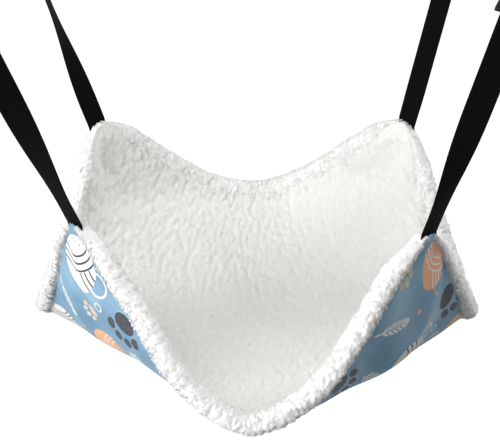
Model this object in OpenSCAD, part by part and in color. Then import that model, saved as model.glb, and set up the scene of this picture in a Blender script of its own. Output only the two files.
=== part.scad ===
// Hanging pet bed: a two-layer cloth with rolled plush rims, hung by a webbing strap at each corner.
// Each strap is looped through a slide buckle and ends in a swivel snap hook.
// The bed is drawn as it hangs in use, with its corners drawn up and in by the straps.
// Millimetres, +Z up, front towards -Y, origin under the middle of the whole, at the bed's lowest height.

/* [Cloth] */
// Width of the flat cut, side to side
cut_w = 560; // [520:5:600]
// Depth of the flat cut, front to rear
cut_d = 480; // [450:5:520]
// How far the hung bed's left rim draws in from the flat cut
left_draw = 36; // [24:1:48]
// How far its right rim draws in
right_draw = 24; // [12:1:36]
// How far its front and rear rims draw in
end_draw = 18; // [10:1:30]
// How far the front corners draw in sideways
front_corner_draw = 105; // [92:1:118]
// How far the rear corners draw in sideways
rear_corner_draw = 89; // [76:1:102]
// How far all four corners draw in front to rear
corner_draw_d = 114; // [102:1:126]
// Height of the front left corner above the lowest point
front_left_corner_h = 249; // [225:1:275]
// Height of the front right corner, which hangs lower
front_right_corner_h = 235; // [215:1:260]
// Height of the two rear corners
rear_corner_h = 245; // [225:1:270]
// Height of the middle of the left rim
left_rim_h = 53; // [42:1:65]
// Height of the middle of the right rim
right_rim_h = 40; // [30:1:55]
// Height of the middle of the front rim
front_rim_h = 51; // [38:1:64]
// Height of the middle of the rear rim
rear_rim_h = 82; // [65:1:100]
// How much deeper the front right quarter sags than the others
quarter_sag = 24; // [0:1:27]
// How far the bed's lowest point stands to the right of the middle of the whole
middle_x = 14.7; // [0:0.1:30]
// How far each corner is cut back for its strap
corner_blunt = 11; // [10:0.5:13]
// Thickness of the outer cloth
shell_t = 1.2; // [0.8:0.1:1.8]
// Thickness of the plush lining
lining_t = 7; // [5:0.5:9]
// Gap between the two cloths
layer_gap = 0.3; // [0.2:0.05:0.5]
// Height of the tension fold that runs from each corner
fold_h = 4; // [2:0.5:5]
// Length of that fold
fold_len = 200; // [150:5:230]
// Distance from a corner up to which the two cloths stand apart for the strap's tail
part_near = 60; // [50:2:80]
// Distance from a corner beyond which they lie together
part_far = 120; // [100:5:150]

/* [Rim rolls] */
// Least thickness of plush around the cloth's edge
roll_wall = 1.6; // [1.2:0.1:3]
// How far the roll's centre stands to the plush side
roll_rise = 2; // [1:0.25:3]
// How far the roll's centre lies inside the cloth's edge
roll_inset = 1; // [0:0.25:3]
// Clearance between the roll and the cloths it binds
roll_clearance = 0.8; // [0.6:0.05:1]
// Thickness of the roll's two lips
roll_lip = 1.2; // [0.8:0.1:1.5]
// Length of rim left bare beside each corner
rim_bare = 21; // [20:0.5:26]

/* [Straps] */
// Width of the webbing
web_w = 25; // [20:0.5:26]
// Thickness of the webbing
web_t = 1.5; // [1.2:0.1:2]
// Length of strap sewn between the cloths at the corner
tail_len = 20; // [14:1:26]
// Clearance of the sewn tail to each cloth
tail_clearance = 0.8; // [0.7:0.05:1]
// Outward lean of the two left straps to their side, in degrees
left_splay = 17.3; // [11:0.1:22]
// Outward lean of the two right straps to their side, in degrees
right_splay = 11.8; // [7:0.1:18]
// Outward lean of the straps to the front and rear, in degrees
splay_end = 6.5; // [2:0.1:12]
// Distance from the corner to where a strap starts to twist
twist_start = 20; // [15:1:30]
// Distance from the corner to where its twist ends
twist_len = 150; // [120:5:160]
// Twist of the two front straps, in degrees
front_twist = 52; // [0:1:80]
// Twist of the rear left strap, in degrees
rear_left_twist = 50; // [0:1:80]
// Twist of the rear right strap, in degrees
rear_right_twist = 0; // [0:1:80]
// Distance from the corner to where the strap runs straight and double
run_start = 165; // [162:1:170]
// Distance from the corner to the slide buckle's middle bar
slider_at = 242; // [238:1:248]
// Distance from the slide buckle's middle bar to the eye's bar
eye_above_slider = 50; // [48:1:60]
// Length of the sewn end of the webbing above the buckle's middle bar
sewn_len = 14; // [12:0.5:16]
// Length over which a strap flattens out above its curved corner
flatten_len = 40; // [30:2:60]
// Gap where two solids of the same webbing meet
web_split = 0.05; // [0.03:0.01:0.1]
// Gap between two plies that slide on each other
ply_gap = 0.3; // [0.2:0.05:0.4]

/* [Slide buckle] */
// Radius of the middle bar
bar_r = 1.5; // [1.3:0.1:2]
// Radius of the two outer bars
outer_bar_r = 2; // [1.8:0.1:2.4]
// Distance from the middle bar to each outer bar
bar_pitch = 10; // [9:0.25:12]
// Width of each side rail
rail_w = 4; // [3:0.25:5]
// Depth of each side rail
rail_t = 3.4; // [3:0.1:4]
// Side room for the webbing, each side
web_side_room = 1; // [0.6:0.1:1.5]
// Clearance of the webbing round a bar
bar_clearance = 0.2; // [0.15:0.05:0.3]

/* [Swivel eye] */
// Clearance of the webbing round the eye's bar
eye_clearance = 0.35; // [0.3:0.05:0.5]
// Height from the eye's bar to its crosshead
eye_h = 12; // [11:0.5:15]
// Height of the collar above the crosshead
collar_h = 0.75; // [0.5:0.25:2]
// Radius of the collar and of the hook's barrel
barrel_r = 5.5; // [5:0.1:5.8]
// Radius of the swivel stem
stem_r = 2.5; // [2:0.1:2.8]
// Running clearance of the stem in the barrel
stem_clearance = 0.06; // [0.04:0.01:0.1]
// Radius of the riveted head
head_r = 3.8; // [3.4:0.1:4]
// Height of the riveted head
head_h = 2; // [1.5:0.1:2.5]
// End play of the swivel, at the collar and at the head
swivel_play = 0.3; // [0.25:0.05:0.4]

/* [Snap hook] */
// Radius of the hook's bowl
bowl_r = 8; // [7.5:0.1:9]
// Width of metal round the bowl
hook_rim = 5; // [4.6:0.1:5.5]
// Thickness of the hook
hook_t = 7; // [6.5:0.1:8]
// Straight length of the throat between its round ends
throat_len = 8; // [7.5:0.25:12]
// Length of the barrel
barrel_h = 8; // [7:0.25:10]
// Step that eases the hook's edges
hook_bevel = 1; // [0.5:0.1:1.2]

/* [Gate] */
// Thickness of the gate
gate_t = 3.4; // [3:0.1:3.8]
// Side clearance of the gate
gate_clearance = 0.2; // [0.15:0.05:0.3]
// Height of the gate's pivot above the barrel
pivot_rise = 3.7; // [3.6:0.1:4]
// Radius of the gate's hub
hub_r = 3; // [2.8:0.1:3.2]
// Radius of the gate's pin
pin_r = 1.2; // [1:0.05:1.4]
// Clearance of the pin in the hook's two cheeks
pin_fit = 0.02; // [0.01:0.01:0.03]
// Running clearance of the gate on its pin
pin_clearance = 0.06; // [0.04:0.01:0.1]
// Clearance between the gate's edges and the hook
gate_gap = 0.4; // [0.35:0.05:0.5]
// How far the hook's nose ends below the bowl's centre
nose_drop = 1; // [0.5:0.1:1.5]
// How far the gate's tip reaches up inside the nose
tip_reach = 2.2; // [1.6:0.1:2.6]
// Width of the gate's tip
tip_w = 2.1; // [1.8:0.1:2.4]
// Length of the thumb tab
tab_len = 4.4; // [3:0.1:4.8]
// Height of the thumb tab
tab_h = 3; // [2.5:0.1:3.2]
// Distance of the gate slot's inner wall from the swivel's axis
slot_x = 5; // [4.6:0.1:5.2]
// Thickness of the leaf spring
leaf_t = 0.4; // [0.3:0.05:0.5]
// Width of the leaf spring
leaf_w = 3; // [2.4:0.1:3.4]
// Height above the pivot where the leaf spring leans on the gate
leaf_rise = 6; // [5:0.25:7]

/* [Hidden] */
$fn = 48;
// Grid of the cloth between the bare ends of its rims
columns = 22;
rows = 18;
roll_steps = 8;
tail_steps = 4;
across_steps = 4;
twist_steps = 18;
loop_steps = 12;
// Shape of the hung cloth: how soft its rise and its rims turn, and how its grid is eased towards the rims
rise_soft_share = 0.6;
rise_soft_end_share = 1.15;
rim_power = 2.4;
blunt_power = 10;
ease_share = 0.15;
probe_share = 0.0005;

half_w = cut_w/2;
half_d = cut_d/2;
left_x = half_w - left_draw;
right_x = half_w - right_draw;
end_y = half_d - end_draw;
front_corner_x = half_w - front_corner_draw;
rear_corner_x = half_w - rear_corner_draw;
corner_y = half_d - corner_draw_d;
probe = cut_w*probe_share;
tail_room = web_t + 2*tail_clearance;
tail_h = shell_t + tail_room/2;
roll_r = (shell_t + tail_room + lining_t)/2 + roll_rise + roll_clearance + roll_wall;

// Offsets of the webbing's plies and bars from the straight ply, across the webbing's face
wrap_r = bar_r + bar_clearance + web_t/2;
wrap_ply = -web_t - ply_gap;
middle_bar_y = wrap_ply - wrap_r;
return_ply = middle_bar_y - wrap_r;
outer_bar_y = web_t/2 + ply_gap + outer_bar_r;
eye_bend_r = -return_ply/2;
eye_r = eye_bend_r - web_t/2 - eye_clearance;
eye_half_w = web_w/2 + web_side_room + eye_r;
rail_x = web_w/2 + web_side_room;
eye_at = slider_at + eye_above_slider;
run_len = eye_at - run_start - 2*web_split;
return_len = eye_above_slider - sewn_len;

// Heights on the swivel's axis, from the eye's bar
collar_top = eye_h + eye_r + collar_h;
barrel_z = collar_top + swivel_play;
throat_floor = barrel_z + barrel_h;
throat_z = throat_floor + bowl_r;
bowl_z = throat_z + throat_len;
head_z = throat_floor + swivel_play;
hook_r = bowl_r + hook_rim;
pivot_x = bowl_r + hook_rim/2;
pivot_z = throat_floor + pivot_rise;
lug_r = hub_r + gate_gap;
nose_z = bowl_z - nose_drop;
gate_x = bowl_r + gate_clearance;
tip_x = gate_x + tip_w;
tip_z = nose_z + tip_reach;
slot_floor = pivot_z - lug_r;
arm_x = hook_r - gate_gap;
tab_z = pivot_z + lug_r + gate_gap;
leaf_foot_x = slot_x + gate_clearance + leaf_t/2;
leaf_top_z = pivot_z + leaf_rise;
cut_over = hook_t;

// Corner name, side, end and twist
CORNERS = [
    ["front_left", -1, -1, front_twist],
    ["front_right", 1, -1, -front_twist],
    ["rear_left", -1, 1, rear_left_twist],
    ["rear_right", 1, 1, -rear_right_twist],
];
CORNER_PIECES = [
    "strap", "strap_run", "strap_return", "strap_end", "slider",
    "swivel_eye", "hook_body", "gate", "gate_pin", "gate_spring",
];

function unit(p) = p/norm(p);

// Rises slowly in the middle and straight towards the rim, from 0 to 1
function rise(t, soft) = (sqrt(t*t + soft*soft) - soft)/(sqrt(1 + soft*soft) - soft);
function smooth(t) = let (k = max(0, min(1, t))) k*k*(3 - 2*k);
function ease(t) = t*(1 + ease_share*(1 - t*t));

// Level in the middle of the bed, 1 at two thirds of the way out and 0 at the rim
function pouch(t) = let (k = max(0, t)) 27/4*k*k*(1 - k);

// Outer face of the hung cloth, from a place on the flat cut
function bed_point(s, t) =
    let (u = ease(s/half_w),
         v = ease(t/half_d),
         corner_x = t < 0 ? front_corner_x : rear_corner_x,
         side_x = s < 0 ? left_x : right_x,
         side_h = s < 0 ? left_rim_h : right_rim_h,
         end_h = t < 0 ? front_rim_h : rear_rim_h,
         corner_h = t > 0 ? rear_corner_h : s < 0 ? front_left_corner_h : front_right_corner_h,
         lift = (corner_h - side_h - end_h)*rise(u, rise_soft_share)*rise(v, rise_soft_end_share),
         sag = quarter_sag*pouch(u)*pouch(-v))
    [middle_x + u*(side_x - (side_x - corner_x)*v*v),
     v*(end_y - (end_y - corner_y)*u*u),
     side_h*pow(abs(u), rim_power) + end_h*pow(abs(v), rim_power) + lift - sag];

// Change of that face along a flat direction, per millimetre of cloth
function along(s, t, way) =
    let (step = way*probe)
    (bed_point(s + step[0], t + step[1]) - bed_point(s - step[0], t - step[1]))/(2*probe);
function bed_normal(s, t) = unit(cross(along(s, t, [1, 0]), along(s, t, [0, 1])));

// Distance from the nearest corner of the flat cut, and the tension fold that fans out from it
function reach(s, t) = norm([max(0, half_w - abs(s)), max(0, half_d - abs(t))]);
function fold(s, t) =
    let (k = min(1, reach(s, t)/fold_len),
         fan = atan2(max(0, half_d - abs(t)), max(0, half_w - abs(s))))
    fold_h*cos(4*fan)*pow(4*k*(1 - k), 2);
function on_bed(s, t, h) = bed_point(s, t) + bed_normal(s, t)*(h + fold(s, t));

// Room between the two cloths, wider where a strap's tail lies between them
function room(s, t) =
    layer_gap + (tail_room - layer_gap)*(1 - smooth((reach(s, t) - part_near)/(part_far - part_near)));
function lining_low(s, t) = shell_t + room(s, t);
function stack(s, t) = lining_low(s, t) + lining_t;

// Lines of the cloth's grid, and the corner cut back for the strap
function grid_lines(half, count) =
    let (inner = half - rim_bare,
         between = half - rim_bare/2)
    concat([-half, -between], [for (i = [0:count]) inner*(2*i/count - 1)], [between, half]);
function blunted(s, t) =
    let (pull = corner_blunt*pow(abs(s*t)/(half_w*half_d), blunt_power))
    [s - sign(s)*pull, t - sign(t)*pull];
s_lines = grid_lines(half_w, columns);
t_lines = grid_lines(half_d, rows);

// Solid through a row of rings; a ring runs along one side and back along the other
module swept(rings) {
    n = len(rings[0]);
    last = len(rings) - 1;
    sides = [
        for (i = [0:last - 1], k = [0:n - 1])
            let (a = i*n + k, b = i*n + (k + 1)%n, c = b + n, d = a + n)
            each (k < n/2 ? [[a, c, b], [a, d, c]] : [[a, d, b], [d, c, b]])
    ];
    caps = [
        for (k = [0:n/2 - 2])
            let (a = k, b = k + 1, c = n - 2 - k, d = n - 1 - k, e = last*n)
            each [[a, b, c], [a, c, d], [e + a, e + c, e + b], [e + a, e + d, e + c]]
    ];
    polyhedron(points = [for (ring = rings) each ring], faces = concat(sides, caps));
}

// Cloth between two heights over the outer face
module cloth(low, high) {
    swept([
        for (s = s_lines)
            let (flat = [for (t = t_lines) blunted(s, t)])
            concat(
                [for (p = flat) on_bed(p[0], p[1], low(p[0], p[1]))],
                [for (j = [len(flat) - 1:-1:0]) on_bed(flat[j][0], flat[j][1], high(flat[j][0], flat[j][1]))]
            )
    ]);
}

module outer_shell() {
    color("#7ba6c6") cloth(function (s, t) 0, function (s, t) shell_t);
}

module plush_lining() {
    color("#f2f1ee") cloth(function (s, t) lining_low(s, t), function (s, t) stack(s, t));
}

// One ring of a rim roll: an arc over the cloth's edge and back along the slot that takes the cloths
function rim_ring(edge, inward) =
    let (top = stack(edge[0], edge[1]) + roll_clearance,
         low = -roll_clearance,
         mid = stack(edge[0], edge[1])/2 + roll_rise,
         from = asin((top + roll_lip - mid)/roll_r),
         to = 360 - asin((mid + roll_lip - low)/roll_r),
         stretch = norm(along(edge[0], edge[1], inward)),
         arc = [for (k = [0:roll_steps])
             let (angle = from + (to - from)*k/roll_steps)
             [roll_inset + roll_r*cos(angle), mid + roll_r*sin(angle)]],
         slot = [for (k = [roll_steps:-1:0])
             [max(-roll_clearance, arc[k][0]), min(top, max(low, arc[k][1]))]])
    [for (p = concat(arc, slot))
        let (place = edge + inward*p[0]/stretch)
        on_bed(place[0], place[1], p[1])];

module rim(edges, inward) {
    color("#fbfaf8") swept([for (edge = edges) rim_ring(blunted(edge[0], edge[1]), inward)]);
}

module front_rim() {
    rim([for (i = [2:columns + 2]) [s_lines[i], -half_d]], [0, 1]);
}

module right_rim() {
    rim([for (i = [2:rows + 2]) [half_w, t_lines[i]]], [-1, 0]);
}

module rear_rim() {
    rim([for (i = [columns + 2:-1:2]) [s_lines[i], half_d]], [0, -1]);
}

module left_rim() {
    rim([for (i = [rows + 2:-1:2]) [-half_w, t_lines[i]]], [1, 0]);
}

// Strap frame: where it leaves the cloth, the way it runs, and the way its width lies
function strap_flat(c, inside) =
    [c[1]*(half_w - corner_blunt), c[2]*(half_d - corner_blunt)] - [c[1], c[2]]*inside/sqrt(2);
function strap_base(c, inside) = let (p = strap_flat(c, inside)) on_bed(p[0], p[1], tail_h);
function strap_way(c) = unit([c[1]*tan(c[1] < 0 ? left_splay : right_splay), c[2]*tan(splay_end), 1]);
function cloth_width(c) =
    let (p = strap_flat(c, 0))
    unit(along(p[0], p[1], [c[1], -c[2]]));
function turned(c, angle) =
    let (way = strap_way(c),
         w = cloth_width(c),
         flat = unit(w - way*(w*way)))
    flat*cos(angle) + cross(way, flat)*sin(angle);

// A place on the strap: z along it from the corner, a from -1 to 1 across it, and off its middle,
// up from the cloth at two corners and down to it at the other two
function on_tail(c, z, a, off) =
    let (middle = strap_flat(c, -z),
         across = [c[1], -c[2]],
         p = middle + across*a*web_w/2/norm(along(middle[0], middle[1], across)))
    on_bed(p[0], p[1], tail_h - c[1]*c[2]*off);
function on_rise(c, z, a, off) =
    let (width = turned(c, c[3]*smooth((z - twist_start)/(twist_len - twist_start))),
         flat = turned(c, 0)*a*web_w/2,
         bow = on_tail(c, 0, a, 0) - strap_base(c, 0) - flat)
    strap_base(c, 0) + strap_way(c)*z + width*a*web_w/2 + bow*(1 - smooth(z/flatten_len))
        + cross(strap_way(c), width)*off;
function strap_ring(c, z) =
    let (across = [for (k = [0:across_steps]) 2*k/across_steps - 1],
         low = [for (a = across) z < 0 ? on_tail(c, z, a, -web_t/2) : on_rise(c, z, a, -web_t/2)],
         high = [for (a = across) z < 0 ? on_tail(c, z, a, web_t/2) : on_rise(c, z, a, web_t/2)])
    concat(low, [for (k = [across_steps:-1:0]) high[k]]);

module strap(c) {
    heights = concat(
        [for (k = [tail_steps:-1:1]) -tail_len*k/tail_steps],
        [for (k = [0:twist_steps]) twist_len*k/twist_steps],
        [run_start]
    );
    color("#1b1b1d") swept([for (z = heights) strap_ring(c, z)]);
}

// Places a piece on its strap: X across the webbing, Y off its face, Z along the strap
module on_strap(c, z) {
    way = strap_way(c);
    width = turned(c, c[3]);
    face = cross(way, width);
    base = strap_base(c, 0) + way*z;
    multmatrix([
        [width[0], face[0], way[0], base[0]],
        [width[1], face[1], way[1], base[1]],
        [width[2], face[2], way[2], base[2]],
        [0, 0, 0, 1]
    ]) children();
}

// Straight ply of webbing, and a half turn of it round a bar
module ply(y, z, length) {
    translate([-web_w/2, y - web_t/2, z]) cube([web_w, web_t, length]);
}

module half_turn(y, r, start) {
    translate([0, y, 0])
        rotate([0, 90, 0]) rotate([0, 0, start])
            rotate_extrude(angle = 180) translate([r - web_t/2, -web_w/2]) square([web_t, web_w]);
}

module strap_run(c) {
    color("#1b1b1d") on_strap(c, run_start) ply(0, web_split, run_len);
}

module strap_return(c) {
    color("#1b1b1d") on_strap(c, eye_at) {
        half_turn(-eye_bend_r, eye_bend_r, 90);
        ply(return_ply, -return_len, return_len);
    }
}

// Outline of a bent ply: its middle line moved half the webbing's thickness to both sides
function ply_side(line, half) = [
    for (i = [0:len(line) - 1])
        let (way = unit(line[min(i + 1, len(line) - 1)] - line[max(i - 1, 0)]))
        line[i] + [-way[1], way[0]]*half
];
function ply_outline(line) =
    let (left = ply_side(line, web_t/2), right = ply_side(line, -web_t/2))
    concat(left, [for (i = [len(right) - 1:-1:0]) right[i]]);

// Sewn loop round the buckle's middle bar; its short end slants back to the ply it is sewn to
module strap_end(c) {
    sewn_y = return_ply + web_t + ply_gap/2;
    top_z = sewn_len - ply_gap;
    turn = [for (k = [0:loop_steps])
        let (angle = 180 + 180*k/loop_steps)
        [middle_bar_y + wrap_r*cos(angle), wrap_r*sin(angle)]];
    slant = [[wrap_ply, web_t], [sewn_y, sewn_len/2 + web_t]];
    line = concat([[return_ply, top_z]], turn, slant, [[sewn_y, top_z]]);
    color("#1b1b1d") on_strap(c, slider_at)
        rotate([90, 0, 90]) linear_extrude(height = web_w, center = true) polygon(ply_outline(line));
}

// Three-bar slide buckle: the straight ply runs over the middle bar and under the outer two
module slider(c) {
    drop = outer_bar_y - middle_bar_y;
    color("#242426") on_strap(c, slider_at) {
        bar(middle_bar_y, 0, bar_r);
        for (end = [-1, 1]) {
            bar(outer_bar_y, end*bar_pitch, outer_bar_r);
            for (side = [-1, 1])
                translate([side*(rail_x + rail_w/2), middle_bar_y, 0])
                    rotate([-end*atan2(drop, bar_pitch), 0, 0])
                        translate([-rail_w/2, -rail_t/2, end < 0 ? -norm([drop, bar_pitch]) : 0])
                            cube([rail_w, rail_t, norm([drop, bar_pitch])]);
        }
        for (side = [-1, 1])
            translate([side*(rail_x + rail_w/2), middle_bar_y, 0])
                rotate([0, 90, 0]) cylinder(r = outer_bar_r, h = rail_w, center = true);
    }
}

module bar(y, z, r) {
    translate([0, y, z]) rotate([0, 90, 0])
        cylinder(r = r, h = 2*(rail_x + rail_w - bar_clearance), center = true);
}

// Places a piece on the swivel's axis, above the eye's bar
module on_swivel(c) {
    on_strap(c, eye_at) translate([0, -eye_bend_r, 0]) children();
}

module swivel_eye(c) {
    color("#b9bcc0") on_swivel(c) {
        for (z = [0, eye_h]) {
            translate([0, 0, z]) rotate([0, 90, 0]) cylinder(r = eye_r, h = 2*eye_half_w, center = true);
            for (side = [-1, 1]) translate([side*eye_half_w, 0, z]) sphere(r = eye_r);
        }
        for (side = [-1, 1]) translate([side*eye_half_w, 0, 0]) cylinder(r = eye_r, h = eye_h);
        translate([0, 0, eye_h]) cylinder(r = barrel_r, h = collar_top - eye_h);
        translate([0, 0, collar_top]) cylinder(r = stem_r, h = head_z - collar_top);
        translate([0, 0, head_z]) cylinder(r = head_r, h = head_h);
    }
}

// Flat outline of round-ended slots and plates: X across, Y along the swivel's axis
module stadium(r, low, high) {
    translate([0, low]) circle(r = r);
    translate([0, high]) circle(r = r);
    translate([-r, low]) square([2*r, high - low]);
}

module plate(t) {
    rotate([90, 0, 0]) linear_extrude(height = t, center = true) children();
}

module hook_outline(edge) {
    difference() {
        union() {
            stadium(hook_r - edge, throat_z, bowl_z);
            translate([pivot_x, pivot_z]) circle(r = lug_r - edge);
        }
        stadium(bowl_r, throat_z, bowl_z);
        translate([gate_x - gate_gap, pivot_z + lug_r]) square([cut_over, nose_z - pivot_z - lug_r]);
        translate([gate_x - gate_gap, nose_z - cut_over])
            square([tip_w + 2*gate_gap, cut_over + tip_reach + gate_gap]);
    }
}

module hook_body(c) {
    color("#c3c6ca") on_swivel(c) difference() {
        union() {
            plate(hook_t) hook_outline(hook_bevel);
            plate(hook_t - 2*hook_bevel) hook_outline(0);
            translate([0, 0, barrel_z]) cylinder(r = barrel_r, h = barrel_h);
        }
        translate([0, 0, barrel_z - cut_over])
            cylinder(r = stem_r + stem_clearance, h = barrel_h + 2*cut_over);
        translate([0, 0, throat_floor]) cylinder(r = head_r + gate_gap, h = bowl_r);
        plate(gate_t + 2*gate_clearance)
            translate([slot_x, slot_floor]) square([hook_r, nose_z - slot_floor]);
        translate([pivot_x, 0, pivot_z]) rotate([90, 0, 0])
            cylinder(r = pin_r + pin_fit, h = 2*cut_over, center = true);
    }
}

module gate_outline() {
    difference() {
        union() {
            translate([pivot_x, pivot_z]) circle(r = hub_r);
            polygon([
                [gate_x, pivot_z], [arm_x, pivot_z], [arm_x, nose_z - gate_gap - gate_clearance],
                [tip_x, nose_z - gate_gap - gate_clearance], [tip_x, tip_z], [gate_x, tip_z]
            ]);
            translate([arm_x - tab_h/2, tab_z]) square([tab_len, tab_h]);
            translate([arm_x - tab_h/2 + tab_len, tab_z + tab_h/2]) circle(r = tab_h/2);
        }
        translate([pivot_x, pivot_z]) circle(r = pin_r + pin_clearance);
    }
}

module gate(c) {
    color("#a9adb2") on_swivel(c) plate(gate_t) gate_outline();
}

module gate_pin(c) {
    color("#8f9398") on_swivel(c)
        translate([pivot_x, 0, pivot_z]) rotate([90, 0, 0]) cylinder(r = pin_r, h = hook_t, center = true);
}

// Bent leaf that stands on the slot's floor and leans on the gate
module gate_spring(c) {
    foot_z = slot_floor + leaf_t/2;
    lean_x = gate_x - gate_clearance - leaf_t/2;
    rise = norm([lean_x - leaf_foot_x, leaf_top_z - foot_z]);
    color("#d5d7da") on_swivel(c) plate(leaf_w) {
        translate([leaf_foot_x, foot_z]) circle(r = leaf_t/2);
        translate([leaf_foot_x, foot_z - leaf_t/2]) square([hub_r/2, leaf_t]);
        translate([leaf_foot_x, foot_z]) rotate(-atan2(lean_x - leaf_foot_x, leaf_top_z - foot_z))
            translate([-leaf_t/2, 0]) square([leaf_t, rise]);
    }
}

outer_shell();
plush_lining();
front_rim();
right_rim();
rear_rim();
left_rim();
for (c = CORNERS) {
    strap(c);
    strap_run(c);
    strap_return(c);
    strap_end(c);
    slider(c);
    swivel_eye(c);
    hook_body(c);
    gate(c);
    gate_pin(c);
    gate_spring(c);
}
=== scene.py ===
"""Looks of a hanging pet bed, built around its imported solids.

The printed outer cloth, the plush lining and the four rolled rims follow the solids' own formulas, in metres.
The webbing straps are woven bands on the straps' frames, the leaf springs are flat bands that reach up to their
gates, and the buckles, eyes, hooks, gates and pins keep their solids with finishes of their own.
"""

import math

import bpy
import numpy as np
from mathutils import Matrix, Vector


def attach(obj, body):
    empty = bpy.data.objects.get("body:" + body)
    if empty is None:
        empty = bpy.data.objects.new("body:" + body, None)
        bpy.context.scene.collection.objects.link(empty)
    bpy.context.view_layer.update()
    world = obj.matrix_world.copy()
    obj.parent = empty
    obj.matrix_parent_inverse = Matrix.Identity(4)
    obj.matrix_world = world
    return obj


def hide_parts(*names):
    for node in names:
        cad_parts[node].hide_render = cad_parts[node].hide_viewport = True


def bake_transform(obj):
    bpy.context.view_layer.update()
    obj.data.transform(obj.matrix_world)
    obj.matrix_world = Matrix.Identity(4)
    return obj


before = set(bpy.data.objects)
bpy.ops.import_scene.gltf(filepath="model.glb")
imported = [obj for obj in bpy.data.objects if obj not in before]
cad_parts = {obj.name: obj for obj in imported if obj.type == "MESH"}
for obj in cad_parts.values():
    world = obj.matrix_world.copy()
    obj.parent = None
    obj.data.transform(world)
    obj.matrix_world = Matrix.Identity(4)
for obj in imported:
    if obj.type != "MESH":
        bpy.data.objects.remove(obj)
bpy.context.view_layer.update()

# Hung bed: the sizes of its solids
HALF_W, HALF_D = 0.280, 0.240
MIDDLE_X, LEFT_X, RIGHT_X, END_Y = 0.0147, 0.244, 0.256, 0.222
FRONT_CORNER_X, REAR_CORNER_X, CORNER_Y = 0.175, 0.191, 0.126
FRONT_LEFT_CORNER_H, FRONT_RIGHT_CORNER_H, REAR_CORNER_H = 0.249, 0.235, 0.245
LEFT_RIM_H, RIGHT_RIM_H, FRONT_RIM_H, REAR_RIM_H = 0.053, 0.040, 0.051, 0.082
QUARTER_SAG = 0.024
CORNER_BLUNT = 0.011
SHELL_T, LINING_T, LAYER_GAP = 0.0012, 0.007, 0.0003
FOLD_H, FOLD_LEN, FOLD_WAVES = 0.004, 0.200, 4
PART_NEAR, PART_FAR = 0.060, 0.120
RISE_SOFT, RISE_SOFT_END = 0.6, 1.15
RIM_POWER, BLUNT_POWER, EASE = 2.4, 10, 0.15
PROBE = 0.00028

# Rim rolls
ROLL_R, ROLL_RISE, ROLL_INSET = 0.01005, 0.002, 0.001
ROLL_CLEARANCE, ROLL_LIP, RIM_BARE = 0.0008, 0.0012, 0.021

# Webbing, slide buckle and eye
WEB_W, WEB_T, RIB_PITCH = 0.025, 0.0015, 0.0019
TAIL_LEN, TAIL_CLEARANCE = 0.020, 0.0008
LEFT_SPLAY, RIGHT_SPLAY, SPLAY_END = math.radians(17.3), math.radians(11.8), math.radians(6.5)
TWIST_START, TWIST_LEN, FLATTEN_LEN = 0.020, 0.150, 0.040
RUN_START, SLIDER_AT, EYE_AT = 0.165, 0.242, 0.292
SEWN_LEN, PLY_GAP, WEB_SPLIT = 0.014, 0.0003, 0.00005
BAR_R, BAR_CLEARANCE = 0.0015, 0.0002
WRAP_R = BAR_R + BAR_CLEARANCE + WEB_T / 2
WRAP_PLY = -WEB_T - PLY_GAP
MIDDLE_BAR_Y = WRAP_PLY - WRAP_R
RETURN_PLY = MIDDLE_BAR_Y - WRAP_R
EYE_BEND_R = -RETURN_PLY / 2
RETURN_LEN = EYE_AT - SLIDER_AT - SEWN_LEN
TAIL_ROOM = WEB_T + 2 * TAIL_CLEARANCE

# Each corner's side, end and twist of its strap
CORNERS = {
    "front_left": (-1, -1, math.radians(52)),
    "front_right": (1, -1, math.radians(-52)),
    "rear_left": (-1, 1, math.radians(50)),
    "rear_right": (1, 1, 0.0),
}

# Each rim's flat edge: its middle, the way along it, the way inward and its half length
RIMS = {
    "front": ((0, -HALF_D), (1, 0), (0, 1), HALF_W),
    "right": ((HALF_W, 0), (0, 1), (-1, 0), HALF_D),
    "rear": ((0, HALF_D), (-1, 0), (0, -1), HALF_W),
    "left": ((-HALF_W, 0), (0, -1), (1, 0), HALF_D),
}


# Meshes
def grid_quads(rows, columns, wrap=False):
    """Quads of a grid of points kept row by row; wrap joins the last column to the first."""
    row = np.arange(rows - 1)[:, None] * columns
    here = np.arange(columns if wrap else columns - 1)[None, :]
    after = (here + 1) % columns
    return np.stack([row + here, row + columns + here, row + columns + after, row + after], -1).reshape(-1, 4)


def make_piece(name, points, faces, material, uv=None):
    """A mesh object from arrays: points (n, 3), lists of faces of one size each, and a UV for each point."""
    points = np.asarray(points, float).reshape(-1, 3)
    corners = np.concatenate([np.asarray(f).ravel() for f in faces])
    sizes = np.concatenate([np.full(len(f), np.shape(f)[1]) for f in faces])
    mesh = bpy.data.meshes.new(name)
    mesh.vertices.add(len(points))
    mesh.vertices.foreach_set("co", points.ravel())
    mesh.loops.add(len(corners))
    mesh.loops.foreach_set("vertex_index", corners.astype(np.int32))
    mesh.polygons.add(len(sizes))
    mesh.polygons.foreach_set("loop_start", (np.cumsum(sizes) - sizes).astype(np.int32))
    mesh.polygons.foreach_set("use_smooth", np.ones(len(sizes), bool))
    if uv is not None:
        layer = mesh.uv_layers.new(name="UVMap")
        layer.data.foreach_set("uv", np.asarray(uv, float).reshape(-1, 2)[corners].ravel())
    mesh.update(calc_edges=True)
    mesh.validate()
    mesh.materials.append(material)
    piece = bpy.data.objects.new(name, mesh)
    bpy.context.scene.collection.objects.link(piece)
    return piece


def outward(points, faces):
    """The same faces, turned if the closed shape that they bound has a negative volume."""
    points = np.asarray(points, float).reshape(-1, 3)
    volume = 0.0
    for quads in faces:
        a = points[quads[:, 0]]
        for k in range(1, quads.shape[1] - 1):
            volume += np.einsum("ij,ij->", a, np.cross(points[quads[:, k]], points[quads[:, k + 1]]))
    return faces if volume > 0 else [quads[:, ::-1] for quads in faces]


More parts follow.
